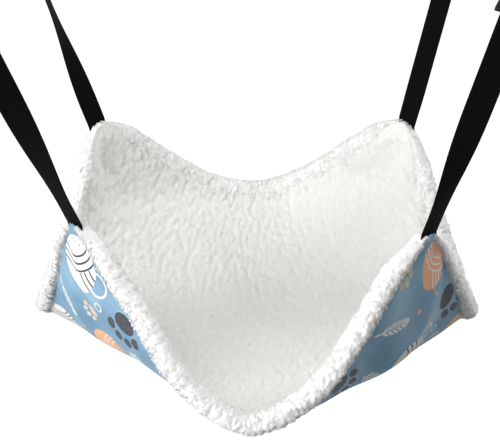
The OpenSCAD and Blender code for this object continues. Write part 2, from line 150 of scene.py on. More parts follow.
def tube_faces(rings, around):
    """Faces of a closed tube: quads along it, and at each end a strip across the ring's two halves."""
    k = np.arange(around // 2 - 1)
    cap = np.stack([k, k + 1, around - 2 - k, around - 1 - k], -1)
    return [np.concatenate([grid_quads(rings, around, wrap=True), cap, cap[:, ::-1] + (rings - 1) * around])]


def make_tube(name, points, material, uv=None):
    """A closed tube from its rings of points."""
    return make_piece(name, points, outward(points, tube_faces(*points.shape[:2])), material, uv)


def sheet_faces(rows, columns):
    """Faces of a cloth with thickness: an upper grid, a lower grid after it, and walls along the four edges."""
    top = grid_quads(rows, columns)
    index = np.arange(rows * columns).reshape(rows, columns)
    ring = np.concatenate([index[0, :-1], index[:-1, -1], index[-1, :0:-1], index[:0:-1, 0]])
    after = np.roll(ring, -1)
    below = rows * columns
    wall = np.stack([ring + below, ring, after, after + below], -1)
    return [np.concatenate([top, top[:, ::-1] + below, wall])]


# Hung cloth
def smooth(t):
    """Eases from 0 to 1 with level ends."""
    t = np.clip(t, 0, 1)
    return t * t * (3 - 2 * t)


def ease(t):
    """Opens the grid in the middle and closes it towards the rims, as the hung cloth does."""
    return t * (1 + EASE * (1 - t * t))


def rise(t, soft):
    """A hyperbola from 0 in the middle to 1 at the rim: level at first, then nearly straight."""
    return (np.sqrt(t * t + soft * soft) - soft) / (math.sqrt(1 + soft * soft) - soft)


def pouch(t):
    """Nothing at the middle and at the rim, and one at two thirds of the way out."""
    k = np.maximum(0, t)
    return 27 / 4 * k * k * (1 - k)


def bed_point(s, t):
    """Outer face of the hung cloth over a place (s, t) of the flat cut.

    The sides and ends draw in with the square of the other way, the rims lift with a power of their own way,
    the corners lift with the product of the two rises, and the front right quarter sags.
    """
    u, v = ease(s / HALF_W), ease(t / HALF_D)
    front = t < 0
    corner_x = np.where(front, FRONT_CORNER_X, REAR_CORNER_X)
    front_h = np.where(s < 0, FRONT_LEFT_CORNER_H, FRONT_RIGHT_CORNER_H)
    corner_h = np.where(front, front_h, REAR_CORNER_H)
    side_x = np.where(s < 0, LEFT_X, RIGHT_X)
    side_h = np.where(s < 0, LEFT_RIM_H, RIGHT_RIM_H)
    end_h = np.where(front, FRONT_RIM_H, REAR_RIM_H)
    lift = (corner_h - side_h - end_h) * rise(u, RISE_SOFT) * rise(v, RISE_SOFT_END)
    sag = QUARTER_SAG * pouch(u) * pouch(-v)
    x = MIDDLE_X + u * (side_x - (side_x - corner_x) * v * v)
    y = v * (END_Y - (END_Y - CORNER_Y) * u * u)
    z = side_h * np.abs(u) ** RIM_POWER + end_h * np.abs(v) ** RIM_POWER + lift - sag
    return np.stack([x, y, z], -1)


def along(s, t, way):
    """Change of the outer face along a flat way, for each metre of cloth."""
    step_s, step_t = way[0] * PROBE, way[1] * PROBE
    return (bed_point(s + step_s, t + step_t) - bed_point(s - step_s, t - step_t)) / (2 * PROBE)


def unit(vectors):
    """Vectors of length one."""
    return vectors / np.linalg.norm(vectors, axis=-1, keepdims=True)


def reach(s, t):
    """Distance from the nearest corner of the flat cut."""
    return np.hypot(np.maximum(0, HALF_W - np.abs(s)), np.maximum(0, HALF_D - np.abs(t)))


# Fine creases of the hung cloth, beyond the solids' own folds, and each slow ripple's way and shift
CREASE_H, CREASE_LEN, CREASES, CREASE_SHIFT, CREASE_TURN = 0.0016, 0.170, 9, 2.1, 9
RIPPLE_H, RIPPLE_LEN = 0.0009, 0.090
RIPPLES = (((0.8, 0.5), 0.7), ((0.35, -0.9), 2.4))


def bell(k):
    """Nothing at both ends of a length and one in its middle: the square of a parabola."""
    return (4 * k * (1 - k)) ** 2


def fold(s, t):
    """Height of the folds: a fan of waves from each corner, and slow ripples that fade out near the corners."""
    far = reach(s, t)
    fan = np.arctan2(np.maximum(0, HALF_D - np.abs(t)), np.maximum(0, HALF_W - np.abs(s)))
    main = FOLD_H * np.cos(FOLD_WAVES * fan) * bell(np.minimum(1, far / FOLD_LEN))
    c = np.minimum(1, far / CREASE_LEN)
    corner = 2 * np.sign(s) + np.sign(t)
    fine = CREASE_H * np.cos(CREASES * fan + CREASE_SHIFT * corner + CREASE_TURN * c) * bell(c)
    turn = 2 * math.pi / RIPPLE_LEN
    waves = sum(np.sin(turn * (a * s + b * t) + shift) for (a, b), shift in RIPPLES)
    ripple = RIPPLE_H * waves * smooth((far - PART_NEAR) / PART_NEAR)
    return main + fine + ripple


def on_bed(s, t, h):
    """A place at height h over the outer face, along its normal."""
    normal = unit(np.cross(along(s, t, (1, 0)), along(s, t, (0, 1))))
    return bed_point(s, t) + normal * (h + fold(s, t))[..., None]


def lining_low(s, t):
    """Lower face of the lining: the two cloths part near a corner for the strap's tail."""
    apart = 1 - smooth((reach(s, t) - PART_NEAR) / (PART_FAR - PART_NEAR))
    return SHELL_T + LAYER_GAP + (TAIL_ROOM - LAYER_GAP) * apart


def blunted(s, t):
    """The flat cut with its corners cut back for the straps."""
    pull = CORNER_BLUNT * (np.abs(s * t) / (HALF_W * HALF_D)) ** BLUNT_POWER
    return s - np.sign(s) * pull, t - np.sign(t) * pull


def cut_grid(step):
    """Places of the flat cut on a grid of about that step."""
    s = np.linspace(-HALF_W, HALF_W, int(2 * HALF_W / step) + 1)
    t = np.linspace(-HALF_D, HALF_D, int(2 * HALF_D / step) + 1)
    return blunted(*np.meshgrid(s, t, indexing="ij"))


# Steps and scale of a sine that scatters whole numbers, and a nub's reach as a share of its cell
HASH_I, HASH_J, HASH_SEED, HASH_SCALE = 127.1, 311.7, 74.7, 43758.5453
NUB_REACH = 0.75


def hash_share(i, j, seed):
    """A fixed share from 0 to 1 for each cell: what is left of a large sine above its whole number."""
    value = np.sin(i * HASH_I + j * HASH_J + seed * HASH_SEED) * HASH_SCALE
    return value - np.floor(value)


def nubs(a, b, cell, seed):
    """Rounded nubs on a plane: 1 on the nearest of one scattered point for each cell, and 0 far from all."""
    ia, ib = np.floor(a / cell), np.floor(b / cell)
    nearest = np.full(np.shape(a + b), np.inf)
    for step_a in (-1, 0, 1):
        for step_b in (-1, 0, 1):
            ca, cb = ia + step_a, ib + step_b
            pa, pb = ca + hash_share(ca, cb, seed), cb + hash_share(ca, cb, seed + 1)
            nearest = np.minimum(nearest, np.hypot(pa * cell - a, pb * cell - b))
    return 1 - np.minimum(1, nearest / (NUB_REACH * cell)) ** 2


# Node trees, and the band that most of a noise lies in
NOISE_BAND = 0.3, 0.7


def put(socket, value):
    """Links a socket's value in, or sets a plain one; a plain colour is given without its alpha."""
    if isinstance(value, bpy.types.NodeSocket):
        socket.id_data.links.new(value, socket)
    else:
        socket.default_value = (*value, 1) if socket.type == "RGBA" else value


def feed(node, values):
    """A node with the sockets of those names or numbers fed."""
    for label, value in values.items():
        put(node.inputs[label], value)
    return node


def maths(tree, operation, *values):
    """A math node's result."""
    node = tree.nodes.new("ShaderNodeMath")
    node.operation = operation
    return feed(node, dict(enumerate(values))).outputs[0]


def vector(tree, operation, *values):
    """A vector math node's result."""
    node = tree.nodes.new("ShaderNodeVectorMath")
    node.operation = operation
    feed(node, dict(enumerate(values)))
    return node.outputs["Value" if operation in ("LENGTH", "DISTANCE") else "Vector"]


def scaled(tree, place, by):
    """A place times a number."""
    node = tree.nodes.new("ShaderNodeVectorMath")
    node.operation = "SCALE"
    return feed(node, {0: place, "Scale": by}).outputs["Vector"]


def parted(tree, place):
    """The X, Y and Z of a place."""
    return feed(tree.nodes.new("ShaderNodeSeparateXYZ"), {0: place}).outputs


def noise(tree, place, scale, detail=2.0, stretch=(1, 1, 1)):
    """Noise at a place: about scale bumps for each metre."""
    values = {"Vector": vector(tree, "MULTIPLY", place, stretch), "Scale": scale, "Detail": detail}
    return feed(tree.nodes.new("ShaderNodeTexNoise"), values).outputs[0]


def stray(tree, place, scale, distance):
    """A place moved about by a noise with three parts, centred on zero."""
    node = feed(tree.nodes.new("ShaderNodeTexNoise"), {"Vector": place, "Scale": scale})
    way = vector(tree, "SUBTRACT", node.outputs[1], (0.5, 0.5, 0.5))
    return vector(tree, "ADD", place, scaled(tree, way, distance))


def mixed(tree, share, first, second):
    """Two colours mixed by a share."""
    node = tree.nodes.new("ShaderNodeMix")
    node.data_type = "RGBA"
    return feed(node, {0: share, 6: first, 7: second}).outputs[2]


def ranged(tree, value, low, high, to_low=0.0, to_high=1.0):
    """A value moved from one range to another, held at its ends."""
    values = {"Value": value, "From Min": low, "From Max": high, "To Min": to_low, "To Max": to_high}
    return feed(tree.nodes.new("ShaderNodeMapRange"), values).outputs[0]


def new_group(name, number, *results):
    """An empty shader node group that takes a place and a number; returns its tree, its inputs and its outputs."""
    tree = bpy.data.node_groups.new(name, "ShaderNodeTree")
    tree.interface.new_socket("Place", in_out="INPUT", socket_type="NodeSocketVector")
    tree.interface.new_socket(number, in_out="INPUT", socket_type="NodeSocketFloat")
    for label in results:
        tree.interface.new_socket(label, in_out="OUTPUT", socket_type="NodeSocketFloat")
    return tree, tree.nodes.new("NodeGroupInput").outputs, tree.nodes.new("NodeGroupOutput").inputs


def use_group(tree, group, **values):
    """A group placed in a tree, with its inputs set; returns its outputs."""
    node = tree.nodes.new("ShaderNodeGroup")
    node.node_tree = group
    return feed(node, values).outputs


def new_material(name, colour, roughness, plain=None):
    """A material with its Principled shader's plain values set; returns it, its tree and that shader."""
    material = bpy.data.materials.new(name)
    material.use_nodes = True
    shader = material.node_tree.nodes["Principled BSDF"]
    feed(shader, {"Base Color": colour, "Roughness": roughness, **(plain or {})})
    return material, material.node_tree, shader


def coordinates(tree, kind):
    """Object or UV coordinates."""
    return tree.nodes.new("ShaderNodeTexCoord").outputs[kind]


def raised_by(tree, height, strength, distance):
    """The normal of a surface that a height raises."""
    node = tree.nodes.new("ShaderNodeBump")
    return feed(node, {"Strength": strength, "Distance": distance, "Height": height}).outputs["Normal"]


def linear(*srgb):
    """A colour written as screen values from 0 to 255, made linear."""
    c = np.array(srgb) / 255
    return tuple(np.where(c <= 0.04045, c / 12.92, ((c + 0.055) / 1.055) ** 2.4).tolist())


# Shared effects: bumps for each metre, and how far they stretch, stray, rise and shade
FLECKS, FLECK_STRETCH = 900.0, (1, 0.2, 1)
CLUMP_SOFT, CLUMP_STRAYS, CLUMP_STRAY, STRANDS, STRAND_H = 0.6, 260.0, 0.004, 1100.0, 0.2
SHADE_BAND = 0.3, 1.0
MARK_STRETCH, MARK_GLOSS, PATCHES, PATCH_GLOSS = (1, 1, 0.12), 0.10, 180.0, 0.14
TARNISH_BAND = 0.45, 0.75


def weave_group():
    """Plain weave on a flat place: the higher of two crossed waves, one for each way of the thread."""
    tree, given, out = new_group("Weave", "Pitch", "Height", "Fleck")
    turns = scaled(tree, given["Place"], maths(tree, "DIVIDE", math.pi, given["Pitch"]))
    across, down, _ = parted(tree, turns)
    first = maths(tree, "MULTIPLY", maths(tree, "SINE", across), maths(tree, "SINE", down))
    second = maths(tree, "MULTIPLY", maths(tree, "COSINE", across), maths(tree, "COSINE", down))
    put(out["Height"], maths(tree, "ABSOLUTE", maths(tree, "ADD", first, second)))
    put(out["Fleck"], noise(tree, given["Place"], FLECKS, detail=3.0, stretch=FLECK_STRETCH))
    return tree


def pile_group():
    """Short pile: clumps of fibres with finer strands in them, and the shade down between the clumps."""
    tree, given, out = new_group("Pile", "Clumps", "Height", "Shade")
    clump = tree.nodes.new("ShaderNodeTexVoronoi")
    clump.feature = "SMOOTH_F1"
    place = stray(tree, given["Place"], CLUMP_STRAYS, CLUMP_STRAY)
    feed(clump, {"Smoothness": CLUMP_SOFT, "Vector": place, "Scale": given["Clumps"]})
    strands = noise(tree, given["Place"], STRANDS, detail=4.0)
    top = maths(tree, "SUBTRACT", 1.0, clump.outputs["Distance"])
    height = maths(tree, "MULTIPLY_ADD", strands, STRAND_H, top)
    put(out["Height"], height)
    put(out["Shade"], ranged(tree, height, *SHADE_BAND))
    return tree


def plating_group():
    """Plated casting: fine polish marks, faint pits, and a slow change of gloss."""
    tree, given, out = new_group("Plating", "Grain", "Height", "Gloss", "Tarnish")
    marks = noise(tree, scaled(tree, given["Place"], given["Grain"]), 1.0, detail=4.0, stretch=MARK_STRETCH)
    slow = noise(tree, given["Place"], PATCHES, detail=3.0)
    fine = ranged(tree, marks, *NOISE_BAND, 0.0, MARK_GLOSS)
    put(out["Height"], marks)
    put(out["Gloss"], maths(tree, "ADD", fine, ranged(tree, slow, *NOISE_BAND, 0.0, PATCH_GLOSS)))
    put(out["Tarnish"], ranged(tree, slow, *TARNISH_BAND))
    return tree


WEAVE, PILE, PLATING = weave_group(), pile_group(), plating_group()


# Print of the outer cloth: balls of yarn, paw marks, feathers and sprigs on a half-drop repeat
TILE_W, TILE_H = 0.146, 0.130
BLUE, BLUE_PALE, BLUE_DEEP = linear(121, 160, 188), linear(152, 187, 205), linear(97, 140, 169)
WHITE, CHARCOAL = linear(238, 236, 232), linear(45, 46, 54)
PEACH, BEIGE = linear(240, 178, 136), linear(222, 205, 186)
CLOUDS, CLOUD_BAND, CLOUD_PALE_BAND = 17.0, (0.35, 0.5), (0.5, 0.68)

# Motifs: centres and radii of their ellipses and rings, as shares of a motif's size, and leans in radians
PAW_PAD, PAW_TOE = ((0, -0.18), (0.30, 0.24)), (0.12, 0.17)
PAW_TOES = ((-0.38, 0.12), (-0.15, 0.36), (0.15, 0.36), (0.38, 0.12))
WOUND_FIRST, WOUND_REACH = ((-1.1, -0.6), (0.95, 1.2, 1.45)), 1.5
WOUND_SECOND, WOUND_W = ((0.5, -1.35), (0.85, 1.1, 1.35)), 0.07
LOOSE_END, LOOSE_W = ((0.98, -0.62), 0.42), 0.09
SPRIG_STEM, SPRIG_TIP = ((0, 0), (0.03, 0.5)), ((0, 0.45), (0.07, 0.16))
SPRIG_LEAVES, SPRIG_SIDE, SPRIG_LEAN, SPRIG_LEAF = (-0.14, 0.10, 0.32), 0.15, math.radians(40), (0.17, 0.065)
VANE, VANE_MIDDLE, QUILL = ((0.08, 0), (0.42, 0.13)), ((0.02, 0), (0.40, 0.014)), ((-0.42, 0), (0.16, 0.022))
SLITS, SLIT_SIDE, SLIT_LEAN, SLIT_RADII = (-0.14, 0.0, 0.14, 0.28), 0.08, 0.6, (0.11, 0.014)


def motif_space(tree, place, centre, turn, size=1.0):
    """A place as seen from a motif's centre, turned with it and measured in its size."""
    node = tree.nodes.new("ShaderNodeVectorRotate")
    node.rotation_type = "Z_AXIS"
    feed(node, {"Vector": vector(tree, "SUBTRACT", place, (*centre, 0)), "Angle": -turn})
    return scaled(tree, node.outputs[0], 1 / size)


def disc(tree, place, centre, radii):
    """Mask of an ellipse: its scaled distance is below one."""
    local = vector(tree, "SUBTRACT", place, (*centre, 0))
    return maths(tree, "LESS_THAN", vector(tree, "LENGTH", vector(tree, "DIVIDE", local, (*radii, 1))), 1.0)


def ring(tree, place, centre, radius, width):
    """Mask of a ring: the distance from its centre is near its radius."""
    return maths(tree, "COMPARE", vector(tree, "DISTANCE", place, (*centre, 0)), radius, width / 2)


def any_of(tree, masks):
    """Where any of the masks is."""
    whole = masks[0]
    for mask in masks[1:]:
        whole = maths(tree, "MAXIMUM", whole, mask)
    return whole


def but_for(tree, mask, cut):
    """Where a mask is and another isn't."""
    return maths(tree, "MULTIPLY", mask, maths(tree, "SUBTRACT", 1.0, cut))


def paw_mark(tree, place):
    """Pad and four toes, all ellipses."""
    return any_of(tree, [disc(tree, place, *PAW_PAD), *(disc(tree, place, toe, PAW_TOE) for toe in PAW_TOES)])


def yarn_ball(tree, place):
    """A ball, its wound strands as two sets of rings inside it, and a loose end as part of a ring."""
    ball = disc(tree, place, (0, 0), (1, 1))
    first, second = (
        any_of(tree, [ring(tree, place, centre, radius, WOUND_W) for radius in radii])
        for centre, radii in (WOUND_FIRST, WOUND_SECOND)
    )
    near = disc(tree, place, WOUND_FIRST[0], (WOUND_REACH, WOUND_REACH))
    wound = any_of(tree, [first, but_for(tree, second, near)])
    loose = ring(tree, place, *LOOSE_END, LOOSE_W)
    return ball, maths(tree, "MULTIPLY", wound, ball), but_for(tree, loose, ball)


def sprig(tree, place):
    """A thin stem with three pairs of slanted leaves and one at its tip."""
    parts = [disc(tree, place, *SPRIG_STEM), disc(tree, place, *SPRIG_TIP)]
    for height in SPRIG_LEAVES:
        for side in (-1, 1):
            leaf = motif_space(tree, place, (side * SPRIG_SIDE, height), side * SPRIG_LEAN)
            parts.append(disc(tree, leaf, (0, 0), SPRIG_LEAF))
    return any_of(tree, parts)


def feather(tree, place):
    """An ellipse of vane, parted along its middle and by slanted slits, and the quill below it."""
    slits = [disc(tree, place, *VANE_MIDDLE)]
    for along_it in SLITS:
        for side in (-1, 1):
            slit = motif_space(tree, place, (along_it, side * SLIT_SIDE), side * SLIT_LEAN)
            slits.append(disc(tree, slit, (0, 0), SLIT_RADII))
    vane = but_for(tree, disc(tree, place, *VANE), any_of(tree, slits))
    return any_of(tree, [vane, disc(tree, place, *QUILL)])


# One tile of the print: each ball's centre, turn, size, fill and thread, then the other motifs and their ink
BALLS = (((0.035, 0.034), 0.3, 0.0250, WHITE, CHARCOAL), ((0.100, 0.100), 2.2, 0.0200, PEACH, WHITE))
MOTIFS = (
    (paw_mark, (0.106, 0.034), -0.35, 0.042, CHARCOAL),
    (paw_mark, (0.067, 0.070), 0.5, 0.024, BEIGE),
    (feather, (0.034, 0.099), 0.6, 0.046, WHITE),
    (sprig, (0.133, 0.070), -0.3, 0.034, WHITE),
)
DOTS, DOT_R = ((0.072, 0.012), (0.008, 0.068), (0.066, 0.118)), 0.0026
LOOP, LOOP_R, LOOP_W = (0.074, 0.046), 0.0044, 0.0015


def tile_place(tree, place):
    """A flat place within its tile, with every other column dropped by half a tile."""
    x, y, _ = parted(tree, place)
    column = maths(tree, "FLOOR", maths(tree, "DIVIDE", x, TILE_W))
    drop = maths(tree, "MULTIPLY", maths(tree, "FLOORED_MODULO", column, 2.0), TILE_H / 2)
    tile_x = maths(tree, "FLOORED_MODULO", x, TILE_W)
    tile_y = maths(tree, "FLOORED_MODULO", maths(tree, "ADD", y, drop), TILE_H)
    return feed(tree.nodes.new("ShaderNodeCombineXYZ"), {"X": tile_x, "Y": tile_y}).outputs[0]


def print_colour(tree, place):
    """Colour of the print at a flat place: a clouded blue with the tile's motifs laid on it in turn."""
    tile = tile_place(tree, place)
    cloud = noise(tree, place, CLOUDS, detail=3.0)
    colour = mixed(tree, ranged(tree, cloud, *CLOUD_BAND), BLUE_DEEP, BLUE)
    colour = mixed(tree, ranged(tree, cloud, *CLOUD_PALE_BAND), colour, BLUE_PALE)
    layers = []
    for centre, turn, size, fill, strand in BALLS:
        ball, wound, loose = yarn_ball(tree, motif_space(tree, tile, centre, turn, size))
        layers += [(ball, fill), (wound, strand), (loose, fill)]
    for motif, centre, turn, size, ink in MOTIFS:
        layers.append((motif(tree, motif_space(tree, tile, centre, turn, size)), ink))
    layers.append((any_of(tree, [disc(tree, tile, dot, (DOT_R, DOT_R)) for dot in DOTS]), PEACH))
    layers.append((ring(tree, tile, LOOP, LOOP_R, LOOP_W), WHITE))
    for mask, ink in layers:
        colour = mixed(tree, mask, colour, ink)
    return colour


# Finishes: pitches of thread, colours, the roughness from low to high, and each bump's strength and depth
CLOTH_PITCH, WEB_PITCH = 0.0007, 0.0009
CLOTH_LINT, LINT_MOST = linear(205, 214, 220), 0.10
CLOTH_ROUGH, CLOTH_BUMP = (0.92, 0.80), (0.35, 0.0002)
# Webbing: a painted shade for the hollows between ribs and threads, its middle tone, a painted highlight for their
# tops, and the least painted light in a hollow between ribs
WEB_PAINTED_SHADE, WEB_MIDDLE, WEB_PAINTED_HIGHLIGHT, RIB_HOLLOW_LIGHT = linear(2, 2, 2), linear(12, 12, 13), linear(27, 27, 28), 0.15
BUCKLE_DARK, BUCKLE_MIDDLE, BUCKLE_WORN = linear(12, 12, 13), linear(14, 14, 15), linear(34, 34, 36)
PLUSH_CLUMPS, PLUSH_TOP, PLUSH_ROUGH, PLUSH_BUMP = 260.0, 1.4, (1.0, 0.85), (0.35, 0.0016)
# The webbing's painted highlight grows with its thread tops over the last range
WEB_ROUGH, WEB_BUMP, WEB_RIB, LIT_THREAD_TOPS = (0.85, 0.6), (0.6, 0.0003), 0.6, (0.15, 0.6, 0.3, 1.0)
SPARKS, WEAR, WORN_BAND, BUCKLE_ROUGH, BUCKLE_BUMP = 2600.0, 140.0, (0.5, 0.8), (0.42, 0.6), (0.25, 0.0001)
CAST_GRAIN, STEEL_GRAIN, PLATED_BUMP = 1500.0, 2200.0, (0.12, 0.0001)
# Thread: its painted shade in the twist's grooves as a share of its colour, its twists and its bump
PLY_GROOVE_SHADE, PLY_TURNS, THREAD_BUMP = 0.6, 2, (0.5, 0.0001)


def printed_cloth():
    """Printed woven cloth: the print dulled a little by the weave, with threads raised."""
    material, tree, shader = new_material("printed_cloth", BLUE, 0.85, {"Sheen Weight": 0.05})
    place = coordinates(tree, "UV")
    weave = use_group(tree, WEAVE, Place=place, Pitch=CLOTH_PITCH)
    dull = ranged(tree, weave["Fleck"], *NOISE_BAND, 0.0, LINT_MOST)
    feed(shader, {
        "Base Color": mixed(tree, dull, print_colour(tree, place), CLOTH_LINT),
        "Roughness": ranged(tree, weave["Height"], 0.0, 1.0, *CLOTH_ROUGH),
        "Normal": raised_by(tree, weave["Height"], *CLOTH_BUMP),
    })
    return material


def plush(name, tips, roots):
    """White plush: pale tips and shaded roots, with clumps of pile raised."""
    material, tree, shader = new_material(name, tips, 0.95, {
        "Sheen Weight": 0.25, "Sheen Roughness": 0.6,
        "Subsurface Weight": 0.7, "Subsurface Radius": (1, 1, 1), "Subsurface Scale": 0.0022,
    })
    pile = use_group(tree, PILE, Place=coordinates(tree, "Object"), Clumps=PLUSH_CLUMPS)
    feed(shader, {
        "Base Color": mixed(tree, pile["Shade"], roots, tips),
        "Roughness": ranged(tree, pile["Height"], 0.0, PLUSH_TOP, *PLUSH_ROUGH),
        "Normal": raised_by(tree, pile["Height"], *PLUSH_BUMP),
    })
    return material


def webbing():
    """Black woven webbing, its weave and a dull lint fleck: painted highlight on rib and thread tops, painted shade
    between.
    """
    material, tree, shader = new_material("webbing", WEB_MIDDLE, 0.7, {"Specular IOR Level": 0.02})
    place = coordinates(tree, "UV")
    weave = use_group(tree, WEAVE, Place=place, Pitch=WEB_PITCH)
    rib = maths(tree, "COSINE", maths(tree, "MULTIPLY", parted(tree, place)["Y"], 2 * math.pi / RIB_PITCH))
    lit_thread_top = ranged(tree, maths(tree, "MULTIPLY", weave["Height"], weave["Fleck"]), *LIT_THREAD_TOPS)
    # Painted light: rib and thread tops painted paler, the hollows between them painted darker
    painted_light = maths(tree, "MULTIPLY", lit_thread_top, ranged(tree, rib, -1.0, 1.0, RIB_HOLLOW_LIGHT, 1.0))
    feed(shader, {
        "Base Color": mixed(tree, painted_light, WEB_PAINTED_SHADE, WEB_PAINTED_HIGHLIGHT),
        "Roughness": ranged(tree, weave["Height"], 0.0, 1.0, *WEB_ROUGH),
        "Normal": raised_by(tree, maths(tree, "MULTIPLY_ADD", rib, WEB_RIB, weave["Height"]), *WEB_BUMP),
    })
    return material


def moulded_plastic():
    """Black moulded plastic with a fine spark grain and paler handling marks."""
    material, tree, shader = new_material("buckle_plastic", BUCKLE_MIDDLE, 0.5, {"Specular IOR Level": 0.2})
    place = coordinates(tree, "Object")
    worn = noise(tree, place, WEAR, detail=4.0)
    feed(shader, {
        "Base Color": mixed(tree, ranged(tree, worn, *WORN_BAND), BUCKLE_DARK, BUCKLE_WORN),
        "Roughness": ranged(tree, worn, *NOISE_BAND, *BUCKLE_ROUGH),
        "Normal": raised_by(tree, noise(tree, place, SPARKS), *BUCKLE_BUMP),
    })
    return material


def plated(name, colour, dark, roughness, grain):
    """Plated metal: polish marks, faint tarnish and a changing gloss."""
    material, tree, shader = new_material(name, colour, roughness, {"Metallic": 1.0})
    finish = use_group(tree, PLATING, Place=coordinates(tree, "Object"), Grain=grain)
    feed(shader, {
        "Base Color": mixed(tree, finish["Tarnish"], colour, dark),
        "Roughness": maths(tree, "ADD", finish["Gloss"], roughness),
        "Normal": raised_by(tree, finish["Height"], *PLATED_BUMP),
    })
    return material


def thread(name, colour):
    """Twisted sewing thread: slanted plies, with a painted shade in the grooves of the twist."""
    material, tree, shader = new_material(name, colour, 0.75, {"Sheen Weight": 0.2})
    along_it, round_it, _ = parted(tree, coordinates(tree, "UV"))
    turn = maths(tree, "MULTIPLY", maths(tree, "ADD", along_it, round_it), PLY_TURNS * 2 * math.pi)
    ply = maths(tree, "SINE", turn)
    # Painted shade: the colour darkens in the twist's grooves, where the bump sinks
    dark = tuple(PLY_GROOVE_SHADE * c for c in colour)
    feed(shader, {
        "Base Color": mixed(tree, ranged(tree, ply, -1, 1), dark, colour),
        "Normal": raised_by(tree, ply, *THREAD_BUMP),
    })
    return material


PRINTED = printed_cloth()
LINING_PLUSH = plush("lining_plush", linear(238, 237, 234), linear(231, 230, 227))
# The rims are the lining's fleece wrapped over, painted paler: a painted light on the rolls and on their loose pile
LIT_RIM_PLUSH = plush("rim_plush", linear(253, 252, 250), linear(250, 249, 247))
WEBBING = webbing()
BUCKLE = moulded_plastic()
HOOK_METAL = plated("hook_metal", linear(160, 162, 166), linear(116, 117, 121), 0.2, CAST_GRAIN)
GATE_METAL = plated("gate_metal", linear(150, 152, 157), linear(106, 108, 112), 0.24, CAST_GRAIN)
PIN_STEEL = plated("pin_steel", linear(128, 130, 135), linear(90, 92, 96), 0.28, STEEL_GRAIN)
SPRING_STEEL = plated("spring_steel", linear(166, 168, 172), linear(116, 116, 119), 0.22, STEEL_GRAIN)
BLUE_THREAD = thread("blue_thread", linear(150, 190, 216))
BLACK_THREAD = thread("black_thread", linear(58, 58, 62))


# Cloths
CLOTH_STEP, LINING_STEP = 0.0028, 0.0024
NUB_CELL, NUB_H, NUB_FROM = 0.0085, 0.0030, 0.012
BANK_H, BANK_FROM, BANK_TOP, BANK_END = 0.0046, 0.036, 0.011, 0.008
BANK_NEAR, BANK_FAR = 0.008, 0.040

# Layers of the lining's nubs: how close they stand each way, their cell's share, their height's share and a seed
NUB_LAYERS, NUB_LEVEL = (((1.2, 0.7), 1.0, 1.0, 3), ((1.0, 0.8), 0.6, 0.5, 8)), 0.6


def make_cloth(name, material, step, low, high, raised=None):
    """A closed cloth between two heights over the outer face, with its flat place as UV."""
    s, t = cut_grid(step)
    lift = 0 if raised is None else raised(s, t)
    sides = on_bed(s, t, high(s, t) + lift), on_bed(s, t, low(s, t))
    points = np.concatenate([side.reshape(-1, 3) for side in sides])
    uv = np.tile(np.stack([s + HALF_W, t + HALF_D], -1).reshape(-1, 2), (2, 1))
    faces = outward(points, sheet_faces(*s.shape))
    piece = make_piece(name, points, faces, material, uv)
    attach(piece, "bed")
    return piece


def pile_nubs(s, t):
    """Nubs of the lining's pile, longer from front to rear, on a bank that rises to the rims off the corners."""
    edge = np.minimum(HALF_W - np.abs(s), HALF_D - np.abs(t))
    bank = smooth((BANK_FROM - edge) / (BANK_FROM - BANK_TOP)) * smooth(edge / BANK_END)
    bank = BANK_H * bank * smooth((reach(s, t) - BANK_NEAR) / (BANK_FAR - BANK_NEAR))
    clear = smooth((edge - NUB_FROM / 2) / NUB_FROM)
    layers = (share * nubs(a * s, b * t, cell * NUB_CELL, seed) for (a, b), cell, share, seed in NUB_LAYERS)
    return bank + NUB_H * clear * (sum(layers) - NUB_LEVEL)


shell = make_cloth(
    "printed_shell", PRINTED, CLOTH_STEP,
    lambda s, t: np.zeros_like(s), lambda s, t: np.full_like(s, SHELL_T),
)
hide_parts("outer_shell")
lining = make_cloth(
    "plush_inside", LINING_PLUSH, LINING_STEP,
    lining_low, lambda s, t: lining_low(s, t) + LINING_T, pile_nubs,
)
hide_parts("plush_lining")


# Locks of loose pile: closed tufts of three rings of three points, as shares of their sizes
LOCK_LEVEL, LOCK_WIDTH = np.array([0.0, 0.45, 1.0]), np.array([0.5, 1.0, 0.12])
LOCK_TURN = math.pi * np.array([1, 5, 9]) / 6
LOCK_ENDS = np.array([[0, 1, 2], [8, 7, 6]])


def lock_section():
    """Three rings of three points for each lock: along it, across it and up, as shares of its sizes."""
    level, width = LOCK_LEVEL[None, :, None], LOCK_WIDTH[None, :, None]
    return level, width * np.cos(LOCK_TURN)[None, None, :], width * np.sin(LOCK_TURN)[None, None, :]


def lock_faces(points):
    """Faces of many closed locks whose points follow each other."""
    rings, around = len(LOCK_LEVEL), len(LOCK_TURN)
    base = (np.arange(len(points)) * rings * around)[:, None, None]
    quads = (grid_quads(rings, around, wrap=True)[None] + base).reshape(-1, 4)
    ends = (LOCK_ENDS[None] + base).reshape(-1, 3)
    return outward(points, [quads, ends])


# Rim rolls: their relief's cells, heights, seeds and middle levels, and how fast it starts at the two edges
RIM_STEP, RIM_AROUND, ROUND_RIM = 0.0013, 46, 5.6 * ROLL_R
RIM_RELIEF = ((0.0052, 0.0021, 0, 0.45), (0.0030, 0.0011, 5, 0.45), (0.016, 0.0014, 3, 0.5))
RELIEF_IN, RELIEF_OUT, RIM_SEED, RIM_SEED_STEP = 6, 14, 20, 7
RIM_TAPER, RIM_THIN, RIM_PAST = 0.060, 0.08, 0.013
FEATHER, FEATHER_LOW, FEATHER_WALL, FEATHER_SHARE = 0.030, 0.0009, 0.0004, 0.35
LIP_SHARE, LIP_TO, LIP_FAR = 0.9, -0.0003, 0.0015
CREST = math.radians(75)

